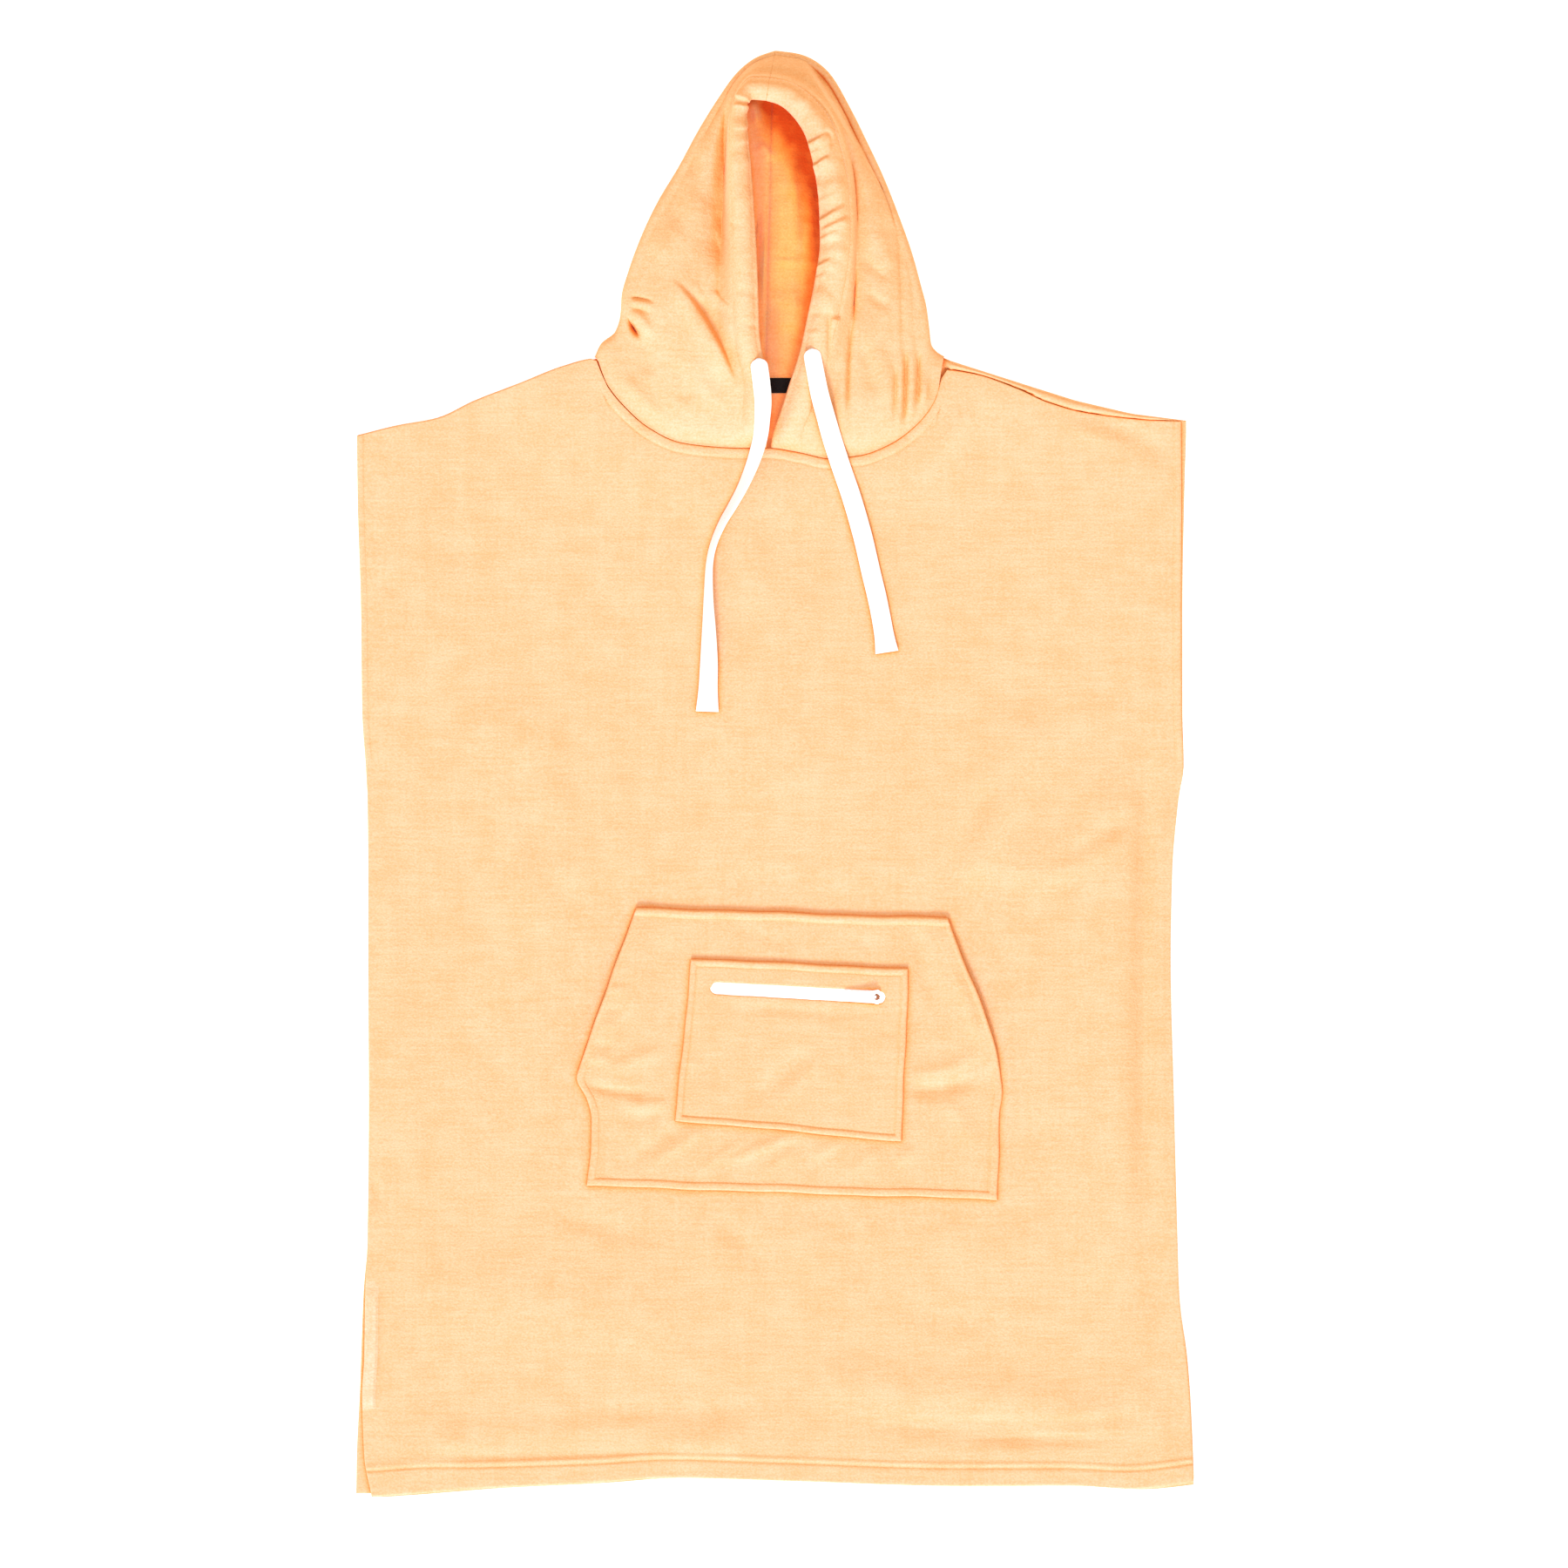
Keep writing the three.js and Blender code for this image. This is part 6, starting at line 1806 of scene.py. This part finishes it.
def rounded_plate(name, outline, holes, thickness, bevel, material):
    """A flat plate of an outline with holes, with rounded edges, centred on its own plane."""
    curve = bpy.data.curves.new(name, "CURVE")
    curve.dimensions = "2D"
    curve.fill_mode = "BOTH"
    curve.extrude = (thickness / 2 - bevel) * MM
    curve.bevel_depth = bevel * MM
    curve.bevel_resolution = 3
    curve.offset = -bevel * MM
    for ring in [outline, *holes]:
        spline = curve.splines.new("POLY")
        spline.points.add(len(ring) - 1)
        spline.use_cyclic_u = True
        for point, (x, y) in zip(spline.points, ring):
            point.co = (x * MM, y * MM, 0, 1)
    holder = bpy.data.objects.new(name + "_curve", curve)
    scene.collection.objects.link(holder)
    mesh = bpy.data.meshes.new_from_object(holder.evaluated_get(bpy.context.evaluated_depsgraph_get()))
    bpy.data.objects.remove(holder)
    shape = bmesh.new()
    shape.from_mesh(mesh)
    bmesh.ops.remove_doubles(shape, verts=shape.verts, dist=1e-6)
    bmesh.ops.recalc_face_normals(shape, faces=shape.faces)
    shape.to_mesh(mesh)
    shape.free()
    mesh.name = name
    mesh.materials.clear()
    mesh.materials.append(material)
    return mesh


def arc(cx, cy, radius, start, end, count=16):
    angles = np.linspace(math.radians(start), math.radians(end), count)
    return [(cx + radius * math.cos(a), cy + radius * math.sin(a)) for a in angles]


def placed_on_zip(mesh, name, rise, tilt=0.0):
    """A piece whose mesh is put at the slider, at a height over the zip's base."""
    x, y = on_zip(SLIDER["x"], 0)
    cos, sin = math.cos(ZIP["tilt"]), math.sin(ZIP["tilt"])
    points = np.array([v.co for v in mesh.vertices]) / MM
    c, s = math.cos(tilt), math.sin(tilt)
    px, py, pz = points[:, 0] * c - points[:, 2] * s, points[:, 1], points[:, 0] * s + points[:, 2] * c
    moved = np.stack([x + px * cos - py * sin, y + px * sin + py * cos, PATCH_BASE + rise + pz], -1) * MM
    mesh.vertices.foreach_set("co", moved.ravel())
    mesh.polygons.foreach_set("use_smooth", [True] * len(mesh.polygons))
    mesh.update()
    piece = bpy.data.objects.new(name, mesh)
    scene.collection.objects.link(piece)
    return piece


def slider(material):
    """The slider's upper plate, waisted at the back, and the arched bridge that holds the pull."""
    half_length, half_width = SLIDER["length"] / 2, SLIDER["width"] / 2
    corner, rear = SLIDER["corner"], SLIDER_REAR
    shoulder_x = -half_length * rear["shoulder_at"]
    outline = [(-half_length, -half_width * rear["end"]), (shoulder_x, -half_width * rear["shoulder"])]
    outline += arc(half_length - corner, -half_width + corner, corner, -90, 0, 6)
    outline += arc(half_length - corner, half_width - corner, corner, 0, 90, 6)
    outline += [(shoulder_x, half_width * rear["shoulder"]), (-half_length, half_width * rear["end"])]
    plate = rounded_plate("zip_slider_plate", outline, [], SLIDER["plate"], SLIDER["bevel"], material)
    body = placed_on_zip(plate, "zip_slider_plate", SLIDER_BASE + SLIDER["plate"] / 2)
    finish_piece(body, replaced=("zip_slider",))
    inner, outer, foot = BRIDGE["inner"], BRIDGE["outer"], -PULL["axis_rise"] - BRIDGE["feet"]
    ring = [(outer, foot), *arc(0, 0, outer, 0, 180), (-outer, foot)]
    ring += [(-inner, foot), *arc(0, 0, inner, 180, 0), (inner, foot)]
    arch = rounded_plate("zip_bridge", ring, [], BRIDGE["width"], BRIDGE["bevel"], material)
    points = np.array([v.co for v in arch.vertices])
    arch.vertices.foreach_set("co", np.stack([points[:, 0], -points[:, 2], points[:, 1]], -1).ravel())
    bridge = placed_on_zip(arch, "zip_bridge", PULL_AXIS)
    return body, finish_piece(bridge)


def pull_tab(material):
    """The pull, lying to the left from its crossbar, with a keyhole at its tip."""
    half_width, bar = PULL["width"] / 2, PULL["thickness"] / 2
    tip = 3 - PULL["length"]
    outline = [(bar, -half_width), (bar, half_width)]
    outline += arc(tip, 0, half_width - 1, 90, 270, 24)
    end, side = -PULL_EYE["end"], half_width - PULL_EYE["side"]
    eye = [(-bar, -side), (end, -side), (end, side), (-bar, side)]
    hole = arc(tip + KEYHOLE["x"], 0, KEYHOLE["radius"], 0, KEYHOLE["turn"], 20)
    mesh = rounded_plate("zip_pull_tab", outline, [eye, hole], PULL["thickness"], PULL["bevel"], material)
    piece = placed_on_zip(mesh, "zip_pull_tab", PULL_AXIS, PULL["tilt"])
    return finish_piece(piece, body="pull", replaced=("zip_pull",))


# Label


def neck_label(material):
    """A bare black label, its ends folded under, that follows the back's slight waves."""
    half_w, half_h = LABEL["width"] / 2, LABEL["height"] / 2
    u, v = np.meshgrid(np.linspace(-half_w, half_w, 57), np.linspace(-half_h, half_h, 15))
    edge = np.minimum(half_w - np.abs(u), half_h - np.abs(v))
    x, y = LABEL["x"] + u, LABEL["y"] + v
    folded_end = 0.25 * (np.abs(u) > half_w - 4)
    top = CLOTH + SEAM_GAP + 0.9 + 0.5 * np.cos(u * 0.12) - 0.4 * rim(edge, 0.8) + folded_end
    piece = layer("label", x, y, top, np.full(x.shape, CLOTH + THINNEST), material)
    finish_piece(piece, replaced=("neck_label",))
    return piece


def build():
    terry, thread = terry_material("peach_terry", PANEL_REACH, PEACH_PAINTED_SHADE_BY_DEPTH), thread_material()
    hood_terry = terry_material("peach_terry_hood", HOOD_REACH, PEACH_HOOD_PAINTED_SHADE)
    # The inside's material, with deep painted shade and a painted glow
    lining = terry_material("peach_terry_inside", INSIDE_REACH, PEACH_INSIDE_PAINTED_SHADE, INSIDE_PAINTED_GLOW)
    braid = cord_material()
    add_floor(floor_material())
    for name, node, route in (
        ("cord_left", "drawcord_left", CORD_LEFT),
        ("cord_right", "drawcord_right", CORD_RIGHT),
    ):
        finish_piece(flat_cord(name, route, braid), replaced=(node,))
    back_panel(terry, lining)
    front_panel(terry, terry_material("peach_terry_facing", PANEL_REACH, PEACH_FACING_PAINTED_SHADE))
    front_stitches(thread)
    casing_lines = [
        hood_half(name, node, *forms, hood_terry, lining)
        for name, node, *forms in (
            ("terry_hood_left", "hood_left", HOOD_LEFT, HOOD_LEFT_FOLDS, HOOD_LEFT_GATHERS, 0.52, 1),
            ("terry_hood_right", "hood_right", HOOD_RIGHT, HOOD_RIGHT_FOLDS, HOOD_RIGHT_GATHERS, 0.04, -1),
        )
    ]
    stitches("stitches_hood", casing_lines, thread)
    kangaroo_pocket(terry)
    pocket_stitches(thread)
    patch = patch_pocket(terry)
    patch_thread = patch_stitches(thread)
    tape = zip_tape(tape_material())
    chain = zip_chain(chain_material())
    enamel = enamel_material()
    slider(enamel)
    pull_tab(enamel)
    neck_label(label_material())


add_camera()
build()
add_world(0.98)
add_sun("key", **KEY)
scene.view_settings.view_transform = "Standard"
scene.view_settings.look = "None"
scene.view_settings.exposure = 0
scene.view_settings.gamma = 1
